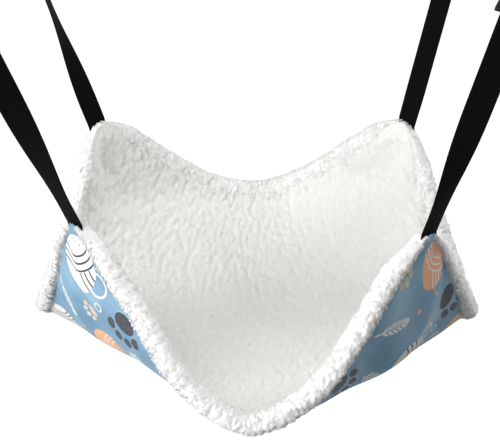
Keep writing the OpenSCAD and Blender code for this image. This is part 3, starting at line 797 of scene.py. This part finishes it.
# Curls: where round a rim they stand, their spread of sizes, how they run and rise, and the shares that hold them
CURLS_EACH_M, CURL_LEN, CURL_W, CURL_LEAST, CURL_SEED = 19000, 0.0046, 0.0005, 0.45, 40
CURL_PLACES, CURL_LENGTHS, CURL_WIDTHS = (0.10, 0.97), (0.45, 1.15), (0.25, 1.0)
CURL_RUN, CURL_BEND, CURL_RISE, CURL_TURN = 0.35, 0.6, 0.5, 0.55 * math.pi
CURL_FLAT, CURL_SINK, CURL_HELD = 0.6, 0.0006, (0.02, 0.98)

# Fringe: tufts from the outer side over the lip, in clumps
FRINGE_EACH_M, FRINGE_LEN, FRINGE_W, FRINGE_CLUMP, FRINGE_SEED = 3600, 0.0050, 0.0011, 0.007, 60
FRINGE_PLACES, FRINGE_LENGTHS, FRINGE_WIDTHS = (0.70, 0.92), (0.1, 1.0), (0.4, 1.0)
FRINGE_OFF, FRINGE_BOW, FRINGE_SINK, FRINGE_STRAY = 0.0010, 0.20, 0.0004, 0.0018


def rim_number(side):
    """A rim's place in the list of rims."""
    return list(RIMS).index(side)


def rim_edge(side, e):
    """Flat place of a rim's edge at e along it, with the cloths' height there and their stretch inward."""
    (s0, t0), way, inward, _ = RIMS[side]
    s, t = blunted(s0 + way[0] * e, t0 + way[1] * e)
    stack = lining_low(s, t) + LINING_T
    return s, t, stack, np.linalg.norm(along(s, t, inward), axis=-1)


def rim_place(side, e, depth, height):
    """A place on a rim's section at e: depth in from the edge and height over the outer face."""
    inward = RIMS[side][2]
    s, t, _, stretch = rim_edge(side, e)
    return on_bed(s + inward[0] * depth / stretch, t + inward[1] * depth / stretch, height)


def rim_section(side, e, share, lift):
    """Depth and height round a rim's section, from the lining over the crest to its outer lip.

    The first share is a cubic that feathers out level on the lining, the rest is an arc round the edge, and the
    last of it closes on the outer cloth.
    """
    _, _, stack, _ = rim_edge(side, e)
    middle = stack / 2 + ROLL_RISE
    end = 2 * math.pi - np.arcsin((middle + ROLL_LIP + ROLL_CLEARANCE) / ROLL_R)
    angle = CREST + (end - CREST) * np.clip((share - FEATHER_SHARE) / (1 - FEATHER_SHARE), 0, 1)
    arc_depth = ROLL_INSET + (ROLL_R + lift) * np.cos(angle)
    arc_height = middle + (ROLL_R + lift) * np.sin(angle)
    crest_depth, crest_height = ROLL_INSET + ROLL_R * math.cos(CREST), middle + ROLL_R * math.sin(CREST)
    foot_height = stack - FEATHER_LOW
    run = FEATHER - crest_depth
    k = np.clip(share / FEATHER_SHARE, 0, 1)
    up = (3 - 2 * k) * k * k
    cubic_depth = FEATHER - run * k
    cubic_height = foot_height + (crest_height - foot_height) * up + run * k * k * (k - 1) / math.tan(CREST)
    on_arc = share > FEATHER_SHARE
    lip = smooth((share - LIP_SHARE) / (1 - LIP_SHARE))
    depth = np.where(on_arc, arc_depth + LIP_FAR * lip, cubic_depth + lift * k * math.cos(CREST))
    height = np.where(on_arc, arc_height + (LIP_TO - arc_height) * lip, cubic_height + lift * math.sin(CREST))
    return depth, height, stack


def rim_bumps(side, e, share):
    """Nubs, tufts and slow lumps of a rim's plush, level at its two edges."""
    first = RIM_SEED + RIM_SEED_STEP * rim_number(side)
    around = share * ROUND_RIM
    level = smooth(RELIEF_IN * share) * smooth(RELIEF_OUT * (1 - share))
    return level * sum(
        height * (nubs(e, around, cell, first + seed) - middle) for cell, height, seed, middle in RIM_RELIEF)


def rim_fullness(side, e):
    """How full a roll is: thin against the cloths at the straps, and full a little way from them."""
    left = RIMS[side][3] - RIM_BARE + RIM_PAST - np.abs(e)
    return RIM_THIN + (1 - RIM_THIN) * smooth(left / RIM_TAPER)


def rim_slot(depth, height, stack):
    """The slot's wall under a place on a rim's section: along the cloths, or just inside a feathered edge."""
    low = np.where(depth > ROLL_INSET, np.where(height > stack / 2, height - FEATHER_WALL, height / 2), height)
    return np.maximum(-ROLL_CLEARANCE, depth), np.clip(low, -ROLL_CLEARANCE, stack + ROLL_CLEARANCE)


def rim_settled(side, e, share, lift):
    """Places on a rim's outer side and on its slot, thinned towards the straps."""
    full = rim_fullness(side, e)
    depth, height, stack = rim_section(side, e, share, lift * full)
    slot_depth, slot_height = rim_slot(depth, height, stack)
    outer_depth, outer_height = slot_depth + (depth - slot_depth) * full, slot_height + (height - slot_height) * full
    return rim_place(side, e, outer_depth, outer_height), rim_place(side, e, slot_depth, slot_height)


def make_rim(side):
    """A plush roll: its section with nubs, then back along the slot that takes the cloths, thinner at the straps."""
    half = RIMS[side][3] - RIM_BARE + RIM_PAST
    e = np.linspace(-half, half, int(2 * half / RIM_STEP) + 1)[:, None]
    share = np.linspace(0, 1, RIM_AROUND)[None, :]
    e, share = np.broadcast_arrays(e, share)
    outer, inner = rim_settled(side, e, share, rim_bumps(side, e, share))
    points = np.concatenate([outer, inner[:, ::-1]], axis=1)
    around = np.linspace(0, 4 * math.pi * ROLL_R, points.shape[1])[None, :]
    piece = make_tube(f"{side}_rim_plush", points, LIT_RIM_PLUSH, np.stack(np.broadcast_arrays(e[:, :1], around), -1))
    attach(piece, "bed")
    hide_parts(f"{side}_rim")
    return piece


def rim_out(side, e, share, lift):
    """Places on a rim's outer side, and the directions out of it from small steps along it and round it."""
    outer, inner = rim_settled(side, e, share, lift)
    ahead, _ = rim_settled(side, e + PROBE, share, lift)
    over, _ = rim_settled(side, e, share + PROBE, lift)
    out = unit(np.cross(ahead - outer, over - outer))
    return outer, out * np.sign(np.median((out * (outer - inner)).sum(-1)))


def curl_points(side, draw):
    """Curls of a rim's pile: tapered tufts that rise from the roll and lean over, some fine and some thick.

    A curl runs along the rim by a parabola of its level, and rises by a sine of it.
    """
    half = RIMS[side][3] - RIM_BARE
    each = (int(CURLS_EACH_M * 2 * half), 1, 1)
    e = draw.uniform(-half, half, each)
    share = draw.uniform(*CURL_PLACES, each)
    lean = draw.uniform(0, 2 * math.pi, each)
    length = CURL_LEN * draw.uniform(*CURL_LENGTHS, each)
    thick = CURL_W * draw.uniform(*CURL_WIDTHS, each) ** 2
    level, across, up = lock_section()
    run, off = length * (CURL_RUN * level + CURL_BEND * level**2), thick * across
    at_e = e + run * np.cos(lean) - off * np.sin(lean)
    at_share = np.clip(share + (run * np.sin(lean) + off * np.cos(lean)) / ROUND_RIM, *CURL_HELD)
    raised = length * CURL_RISE * np.sin(level * CURL_TURN) + CURL_FLAT * thick * up - CURL_SINK
    raised = raised * np.maximum(CURL_LEAST, rim_fullness(side, e))
    at_e, at_share, raised, bumps = np.broadcast_arrays(at_e, at_share, raised, rim_bumps(side, e, share))
    roots, out = rim_out(side, at_e, at_share, bumps)
    return roots + raised[..., None] * out


def fringe_points(side, draw):
    """Tufts that hang from a rim's outer side past its lip over the outer cloth, longer and shorter in clumps.

    A tuft goes from its root by way of a middle that is bowed out to a tip over the cloth.
    """
    half = RIMS[side][3] - RIM_BARE
    count = int(FRINGE_EACH_M * 2 * half)
    e = draw.uniform(-half, half, count)
    share = draw.uniform(*FRINGE_PLACES, count)
    clump = nubs(e, np.zeros_like(e), FRINGE_CLUMP, FRINGE_SEED + rim_number(side)) * rim_fullness(side, e)
    past = FRINGE_LEN * clump * draw.uniform(*FRINGE_LENGTHS, count)
    thick = FRINGE_W * draw.uniform(*FRINGE_WIDTHS, count)[:, None, None, None]
    roots, out = rim_out(side, e, share, rim_bumps(side, e, share) - FRINGE_SINK)
    lip, _, _ = rim_section(side, e, np.ones_like(e), np.zeros_like(e))
    tips = rim_place(side, e + draw.normal(0, FRINGE_STRAY, count), lip + past, np.full_like(e, -FRINGE_OFF))
    way = tips - roots
    middles = roots + way / 2 + FRINGE_BOW * np.linalg.norm(way, axis=-1, keepdims=True) * out
    line = np.stack([roots, middles, tips], 1)[:, :, None]
    _, across, up = (part[..., None] for part in lock_section())
    return line + thick * (across * unit(np.cross(out, way))[:, None, None] + up * out[:, None, None])


def make_curls(side):
    """Loose pile of a rim: its curls and the fringe past its outer lip."""
    draw = np.random.default_rng(CURL_SEED + rim_number(side))
    curled, hanging = curl_points(side, draw), fringe_points(side, draw)
    points = np.concatenate([curled, hanging])
    faces = lock_faces(curled) + [corners + curled[..., 0].size for corners in lock_faces(hanging)]
    piece = make_piece(f"{side}_rim_curls", points, faces, LIT_RIM_PLUSH)
    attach(piece, "bed")
    return piece


rims = [make_rim(side) for side in RIMS]
curls = [make_curls(side) for side in RIMS]


# Webbing straps
WEB_STEP, WEB_AROUND, RIB_H, WEB_ROUND = 0.0006, 36, 0.00007, 6


def strap_flat(corner, inside):
    """Flat place of a strap's middle line, inside the corner's cut by that much."""
    side, end, _ = CORNERS[corner]
    pull = CORNER_BLUNT + np.asarray(inside, float) / math.sqrt(2)
    return side * (HALF_W - pull), end * (HALF_D - pull)


def strap_base(corner, inside):
    """Middle line of a strap's sewn tail, between the two cloths."""
    s, t = strap_flat(corner, inside)
    return on_bed(s, t, np.full(np.shape(s), SHELL_T + TAIL_ROOM / 2))


def cloth_width(corner):
    """The way a strap's width lies at its corner: along the corner's cut."""
    side, end, _ = CORNERS[corner]
    return unit(along(*strap_flat(corner, 0.0), (side, -end)))


def strap_way(corner):
    """The way a strap runs up from its corner."""
    side, end, _ = CORNERS[corner]
    splay = LEFT_SPLAY if side < 0 else RIGHT_SPLAY
    return unit(np.array([side * math.tan(splay), end * math.tan(SPLAY_END), 1.0]))


def strap_width(corner, angle):
    """The way a strap's width lies, turned from its corner's cut by an angle about the strap."""
    way = strap_way(corner)
    width = cloth_width(corner)
    level = unit(width - way * (width @ way))
    angle = np.asarray(angle)[..., None]
    return level * np.cos(angle) + np.cross(way, level) * np.sin(angle)


def strap_frame(corner):
    """Axes of a strap's straight end as columns: across the webbing, off its face and along it."""
    way, width = strap_way(corner), strap_width(corner, CORNERS[corner][2])
    return np.stack([width, np.cross(way, width), way], -1)


def on_strap(corner, z, places):
    """Places given across, off and along a strap's straight end, z from its corner."""
    return strap_base(corner, 0.0) + (np.asarray(places, float) + (0, 0, z)) @ strap_frame(corner).T


def squared_oval(count):
    """Places round a flat band's section, as shares of its half width and half thickness: a squared oval."""
    around = np.linspace(0, 2 * math.pi, count, endpoint=False)[None, :]
    waves = np.cos(around), np.sin(around)
    return [np.sign(wave) * np.abs(wave) ** (2 / WEB_ROUND) for wave in waves]


def web_section(length):
    """Places round the webbing's section at each length: a squared oval, its faces ribbed across."""
    across, off = squared_oval(WEB_AROUND)
    rib = RIB_H * (np.cos(2 * math.pi * length / RIB_PITCH)[:, None] - 1)
    return across, off * (WEB_T / 2 + rib)


def make_web(name, points, across, length):
    """A woven band from its rings of points."""
    uv = np.stack(np.broadcast_arrays(across * WEB_W / 2, length[:, None]), -1)
    return make_tube(name, points, WEBBING, uv)


def on_tail(corner, inside, across, off):
    """Places on a strap's sewn tail, which follows the cloths; off points away from them at two of the corners."""
    side, end, _ = CORNERS[corner]
    s, t = strap_flat(corner, inside)
    reach_ = across * WEB_W / 2 / np.linalg.norm(along(s, t, (side, -end)), axis=-1)
    s, t, off = np.broadcast_arrays(s + side * reach_, t - end * reach_, off)
    return on_bed(s, t, SHELL_T + TAIL_ROOM / 2 - side * end * off)


def on_rise(corner, z, across, off):
    """Places on a strap above its corner: it flattens out, then twists."""
    way, base = strap_way(corner), strap_base(corner, 0.0)
    angle = CORNERS[corner][2] * smooth((z - TWIST_START) / (TWIST_LEN - TWIST_START))
    width = strap_width(corner, angle)
    side = across[..., None] * WEB_W / 2
    bow = on_tail(corner, np.zeros((1, 1)), across, 0.0) - base - strap_width(corner, 0.0) * side
    level = 1 - smooth(z / FLATTEN_LEN)[..., None]
    return base + way * z[..., None] + width * side + bow * level + np.cross(way, width) * off[..., None]


def finish_web(piece, node):
    """A woven band stands for its solid."""
    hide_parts(node)
    return piece


def make_strap(corner):
    """The sewn tail between the cloths, and the strap that rises from it."""
    inside = np.arange(TAIL_LEN, WEB_STEP, -WEB_STEP)
    z = np.linspace(0, RUN_START, int(RUN_START / WEB_STEP) + 1)
    across, off_tail = web_section(-inside)
    _, off_rise = web_section(z)
    tail = on_tail(corner, inside[:, None], across, off_tail)
    up = on_rise(corner, z[:, None], across, off_rise)
    piece = make_web(f"{corner}_webbing", np.concatenate([tail, up]), across, np.concatenate([-inside, z]))
    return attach(finish_web(piece, f"{corner}_strap"), "bed")


def bent_line(points, step):
    """Points at an even step along a line of straight stretches."""
    points = np.asarray(points, float)
    run = np.concatenate([[0], np.cumsum(np.linalg.norm(np.diff(points, axis=0), axis=1))])
    length = np.linspace(0, run[-1], int(run[-1] / step) + 1)
    return np.stack([np.interp(length, run, points[:, k]) for k in range(3)], -1), length


def make_ply(name, node, corner, z, line):
    """A ply of webbing along a line given off and along the strap, its width square to the strap."""
    middle, length = bent_line([(0, off, rise_) for off, rise_ in line], WEB_STEP)
    across, off = web_section(length)
    faces = unit(np.cross(np.gradient(middle, axis=0), (1, 0, 0)))
    places = middle[:, None, :] + faces[:, None, :] * off[..., None]
    places[..., 0] += across * WEB_W / 2
    return finish_web(make_web(name, on_strap(corner, z, places), across, length), node)


def arc(centre, radius, start, end, steps=24):
    """Points of an arc, off and along the strap, between two angles in half turns."""
    angle = np.linspace(start, end, steps) * math.pi
    return [(centre + radius * math.cos(a), radius * math.sin(a)) for a in angle]


def make_plies(corner):
    """The strap's straight run, its return over the eye's bar, and the loop sewn round the buckle's middle bar."""
    carrier, buckle = f"{corner}_eye_carrier", f"{corner}_slide_buckle"
    straight = [(0, WEB_SPLIT), (0, EYE_AT - RUN_START - WEB_SPLIT)]
    run = make_ply(f"{corner}_webbing_run", f"{corner}_strap_run", corner, RUN_START, straight)
    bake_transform(run)
    over = arc(-EYE_BEND_R, EYE_BEND_R, 0, 1) + [(RETURN_PLY, -RETURN_LEN)]
    back = make_ply(f"{corner}_webbing_return", f"{corner}_strap_return", corner, EYE_AT, over)
    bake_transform(back)
    sewn_off, top = RETURN_PLY + WEB_T + PLY_GAP / 2, SEWN_LEN - PLY_GAP
    slant = [(WRAP_PLY, WEB_T), (sewn_off, SEWN_LEN / 2 + WEB_T), (sewn_off, top)]
    under = [(RETURN_PLY, top)] + arc(MIDDLE_BAR_Y, WRAP_R, 1, 2) + slant
    end = make_ply(f"{corner}_webbing_end", f"{corner}_strap_end", corner, SLIDER_AT, under)
    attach(end, buckle)


# Sewing
STITCH_LEN, STITCH_PITCH, STITCH_R = 0.0030, 0.0042, 0.00028
STITCH_RINGS, STITCH_AROUND, STITCH_END, STITCH_BLUNT, STITCH_BOW = 7, 6, 0.04, 4, 0.5
SEAM_DEPTH, SEAM_POINTS, SEW_PROBE = 0.0095, 200, 0.01
BOX_HALF_W, BOX_FROM, BOX_TO, BOX_POINTS = 0.0095, 0.005, 0.017, 60
TACK_HALF_W, TACK_LOW, TACK_HIGH = 0.0105, 0.009, 0.0125


def make_stitches(name, rows, material, body):
    """Rows of stitches: each a short thread with blunt ends, bowed off the cloth in its middle by a parabola."""
    middles, ways, outs = (np.concatenate(part)[:, None, None, :] for part in zip(*rows))
    ways, outs = unit(ways), unit(outs)
    level = np.linspace(-1, 1, STITCH_RINGS)
    turn = np.arange(STITCH_AROUND) * 2 * math.pi / STITCH_AROUND
    cos, sin = np.cos(turn)[None, None, :, None], np.sin(turn)[None, None, :, None]
    at = level[None, :, None, None]
    thick = np.sqrt(np.maximum(STITCH_END, 1 - np.abs(at) ** STITCH_BLUNT)) * STITCH_R
    line = middles + ways * at * STITCH_LEN / 2 + outs * (STITCH_BOW - at**2) * STITCH_R
    points = line + (np.cross(ways, outs) * cos + outs * sin) * thick
    count = len(points)
    base = (np.arange(count) * STITCH_RINGS * STITCH_AROUND)[:, None, None]
    quads = (tube_faces(STITCH_RINGS, STITCH_AROUND)[0][None] + base).reshape(-1, 4)
    round_it = np.arange(STITCH_AROUND)[None, :] / STITCH_AROUND
    uv = np.tile(np.stack(np.broadcast_arrays(level[:, None], round_it), -1), (count, 1, 1, 1))
    piece = make_piece(name, points, outward(points, [quads]), material, uv)
    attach(piece, body)
    return piece


def run_of_stitches(points, pitch=STITCH_PITCH):
    """Middles and ways of the stitches along a line of points."""
    middle, _ = bent_line(points, pitch)
    return (middle[1:] + middle[:-1]) / 2, middle[1:] - middle[:-1]


def sewn(line, lower):
    """Middles, ways and outward ways of the stitches along a line, which has lower points to show its outer side."""
    middles, ways = run_of_stitches(line)
    nearest = np.linspace(0, len(line) - 1, len(middles)).astype(int)
    return middles, ways, (lower - line)[nearest]


def shell_seam(side):
    """The seam that holds a rim's outer lip, on the printed side."""
    half = RIMS[side][3] - 2 * RIM_BARE
    e = np.linspace(-half, half, SEAM_POINTS)
    heights = (-STITCH_R / 2, -SEW_PROBE)
    line, lower = (rim_place(side, e, np.full_like(e, SEAM_DEPTH), np.full_like(e, height)) for height in heights)
    piece = make_stitches(f"{side}_rim_seam", [sewn(line, lower)], BLUE_THREAD, "bed")
    return piece


def corner_box(corner):
    """A box with a cross, sewn through the cloths and the strap's tail, on the printed side."""
    side, end, _ = CORNERS[corner]
    corners = np.array([(-1, BOX_FROM), (1, BOX_FROM), (1, BOX_TO), (-1, BOX_TO)]) * (BOX_HALF_W, 1)
    share = np.linspace(0, 1, BOX_POINTS)[:, None]
    rows = []
    for a, b in ((0, 1), (1, 2), (2, 3), (3, 0), (0, 2), (1, 3)):
        across, inside = (corners[a] * (1 - share) + corners[b] * share).T
        s, t = strap_flat(corner, inside)
        s, t = s + side * across / math.sqrt(2), t - end * across / math.sqrt(2)
        rows.append(sewn(*(on_bed(s, t, np.full_like(s, height)) for height in (-STITCH_R / 2, -SEW_PROBE))))
    piece = make_stitches(f"{corner}_box_stitch", rows, BLUE_THREAD, "bed")
    return piece


def strap_tack(corner):
    """Two rows of close stitches across the webbing's sewn end."""
    off = RETURN_PLY - WEB_T / 2
    rows = []
    for height in (TACK_LOW, TACK_HIGH):
        line = on_strap(corner, SLIDER_AT, [(-TACK_HALF_W, off, height), (TACK_HALF_W, off, height)])
        middles, ways = run_of_stitches(line)
        rows.append((middles, ways, np.broadcast_to(-strap_frame(corner)[:, 1], middles.shape)))
    piece = make_stitches(f"{corner}_tack_stitch", rows, BLACK_THREAD, f"{corner}_slide_buckle")
    return piece


for corner_name in CORNERS:
    make_strap(corner_name)
    make_plies(corner_name)
    corner_box(corner_name)
    strap_tack(corner_name)
for rim_name in RIMS:
    shell_seam(rim_name)

# Leaf springs, given across and along the swivel's axis from the eye's bar
LEAF_W, LEAF_T, LEAF_BEND, LEAF_STEP, LEAF_AROUND, HEEL_POINTS = 0.0030, 0.0004, 0.0007, 0.0003, 16, 9
LEAF_FOOT, LEAF_HEEL, LEAF_TIP = np.array([(0.0069, 0.0238), (0.0054, 0.0238), (0.0078, 0.0330)])


def make_leaf(corner):
    """A flat section along a bent line: its foot, a heel rounded by a parabola, and the leaf up to the gate."""
    share = np.linspace(0, 1, HEEL_POINTS)[:, None]
    near = LEAF_HEEL + LEAF_BEND * unit(LEAF_FOOT - LEAF_HEEL)
    far = LEAF_HEEL + LEAF_BEND * unit(LEAF_TIP - LEAF_HEEL)
    heel = near * (1 - share) ** 2 + 2 * LEAF_HEEL * share * (1 - share) + far * share**2
    line = np.insert(np.concatenate([[LEAF_FOOT], heel, [LEAF_TIP]]), 1, -EYE_BEND_R, axis=1)
    middle, _ = bent_line(line, LEAF_STEP)
    across, off = squared_oval(LEAF_AROUND)
    faces = unit(np.cross(np.gradient(middle, axis=0), (0, 1, 0)))
    places = middle[:, None, :] + faces[:, None, :] * off[..., None] * LEAF_T / 2
    places[..., 1] += across * LEAF_W / 2
    piece = make_tube(f"{corner}_leaf_spring", on_strap(corner, EYE_AT, places), SPRING_STEEL)
    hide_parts(f"{corner}_gate_spring")
    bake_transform(piece)


for corner_name in CORNERS:
    make_leaf(corner_name)

# Hooks and buckles keep their solids
FINISHES = {
    "slider": BUCKLE,
    "swivel_eye": HOOK_METAL,
    "hook_body": HOOK_METAL,
    "gate": GATE_METAL,
    "gate_pin": PIN_STEEL,
}
for corner_name in CORNERS:
    for piece_name, finish_material in FINISHES.items():
        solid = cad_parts[f"{corner_name}_{piece_name}"]
        solid.data.materials.clear()
        solid.data.materials.append(finish_material)

# Studio: a pale floor under the bed, soft light from the left and a white surround
FLOOR_Z, FLOOR_HALF, FLOOR_GRAIN = -0.35, 6.0, 30.0
FLOOR_COLOUR, SURROUND_LIGHT, FLOOR_GLOW = 0.3, 0.23, 0.94
LAMPS = {
    "key": ((-1.6, -1.1, 0.45), 1.1, 30.5),
    "top": ((-0.4, -0.9, 1.5), 1.2, 18.0),
    "edge": ((1.4, 0.7, 1.0), 1.0, 15.0),
}
AIM = (MIDDLE_X, 0.0, 0.159)


def seen_rays(tree):
    """One for rays that see the surround directly, in a reflection or through glass."""
    path = tree.nodes.new("ShaderNodeLightPath").outputs
    seen = maths(tree, "MAXIMUM", path["Is Camera Ray"], path["Is Glossy Ray"])
    return maths(tree, "MAXIMUM", seen, path["Is Transmission Ray"])


def make_floor():
    """A level floor that looks white and keeps the object's shadow."""
    material, tree, shader = new_material("studio_floor", (FLOOR_COLOUR,) * 3, 0.9, {"Emission Color": (1, 1, 1)})
    grain = noise(tree, coordinates(tree, "Object"), FLOOR_GRAIN)
    feed(shader, {
        "Emission Strength": maths(tree, "MULTIPLY", seen_rays(tree), FLOOR_GLOW),
        "Roughness": ranged(tree, grain, *NOISE_BAND, 0.85, 0.95),
    })
    edge = np.array([(-1, -1), (1, -1), (1, 1), (-1, 1)]) * FLOOR_HALF
    points = np.column_stack([edge, np.full(4, FLOOR_Z)])
    make_piece("studio_floor", points, [np.array([[0, 1, 2, 3]])], material)


def make_surround():
    """A world that is white where it is seen, and lights the object softly."""
    world = bpy.data.worlds.new("studio_surround")
    world.use_nodes = True
    tree = world.node_tree
    strength = ranged(tree, seen_rays(tree), 0.0, 1.0, SURROUND_LIGHT, 1.0)
    feed(tree.nodes["Background"], {"Color": (1, 1, 1), "Strength": strength})
    bpy.context.scene.world = world


def aimed(place, roll=0.0):
    """A turn that faces the aim from a place."""
    facing = (Vector(AIM) - Vector(place)).to_track_quat("-Z", "Y").to_matrix()
    return (facing @ Matrix.Rotation(roll, 3, "Z")).to_euler()


def make_lamp(name, place, size, power):
    """A square soft lamp that faces the object."""
    lamp = bpy.data.lights.new(name, "AREA")
    lamp.size, lamp.energy = size, power
    holder = bpy.data.objects.new(name, lamp)
    holder.location, holder.rotation_euler = place, aimed(place)
    bpy.context.scene.collection.objects.link(holder)


CAMERA_DOWN, CAMERA_AWAY, CAMERA_ROLL = math.radians(29.4), 1.047, math.radians(-0.31)
CAMERA_LENS, CAMERA_SHIFT = 67.1, -0.0039


def make_camera():
    """The camera at the photograph's angle: in front, and looking down into the bed."""
    camera = bpy.data.cameras.new("camera")
    camera.lens, camera.shift_x = CAMERA_LENS, CAMERA_SHIFT
    holder = bpy.data.objects.new("camera", camera)
    place = (AIM[0], -CAMERA_AWAY * math.cos(CAMERA_DOWN), AIM[2] + CAMERA_AWAY * math.sin(CAMERA_DOWN))
    holder.location, holder.rotation_euler = place, aimed(place, CAMERA_ROLL)
    bpy.context.scene.collection.objects.link(holder)
    bpy.context.scene.camera = holder


make_floor()
make_surround()
for lamp_name, (lamp_place, lamp_size, lamp_power) in LAMPS.items():
    make_lamp(lamp_name, lamp_place, lamp_size, lamp_power)
make_camera()
bpy.context.scene.view_settings.view_transform = "Standard"
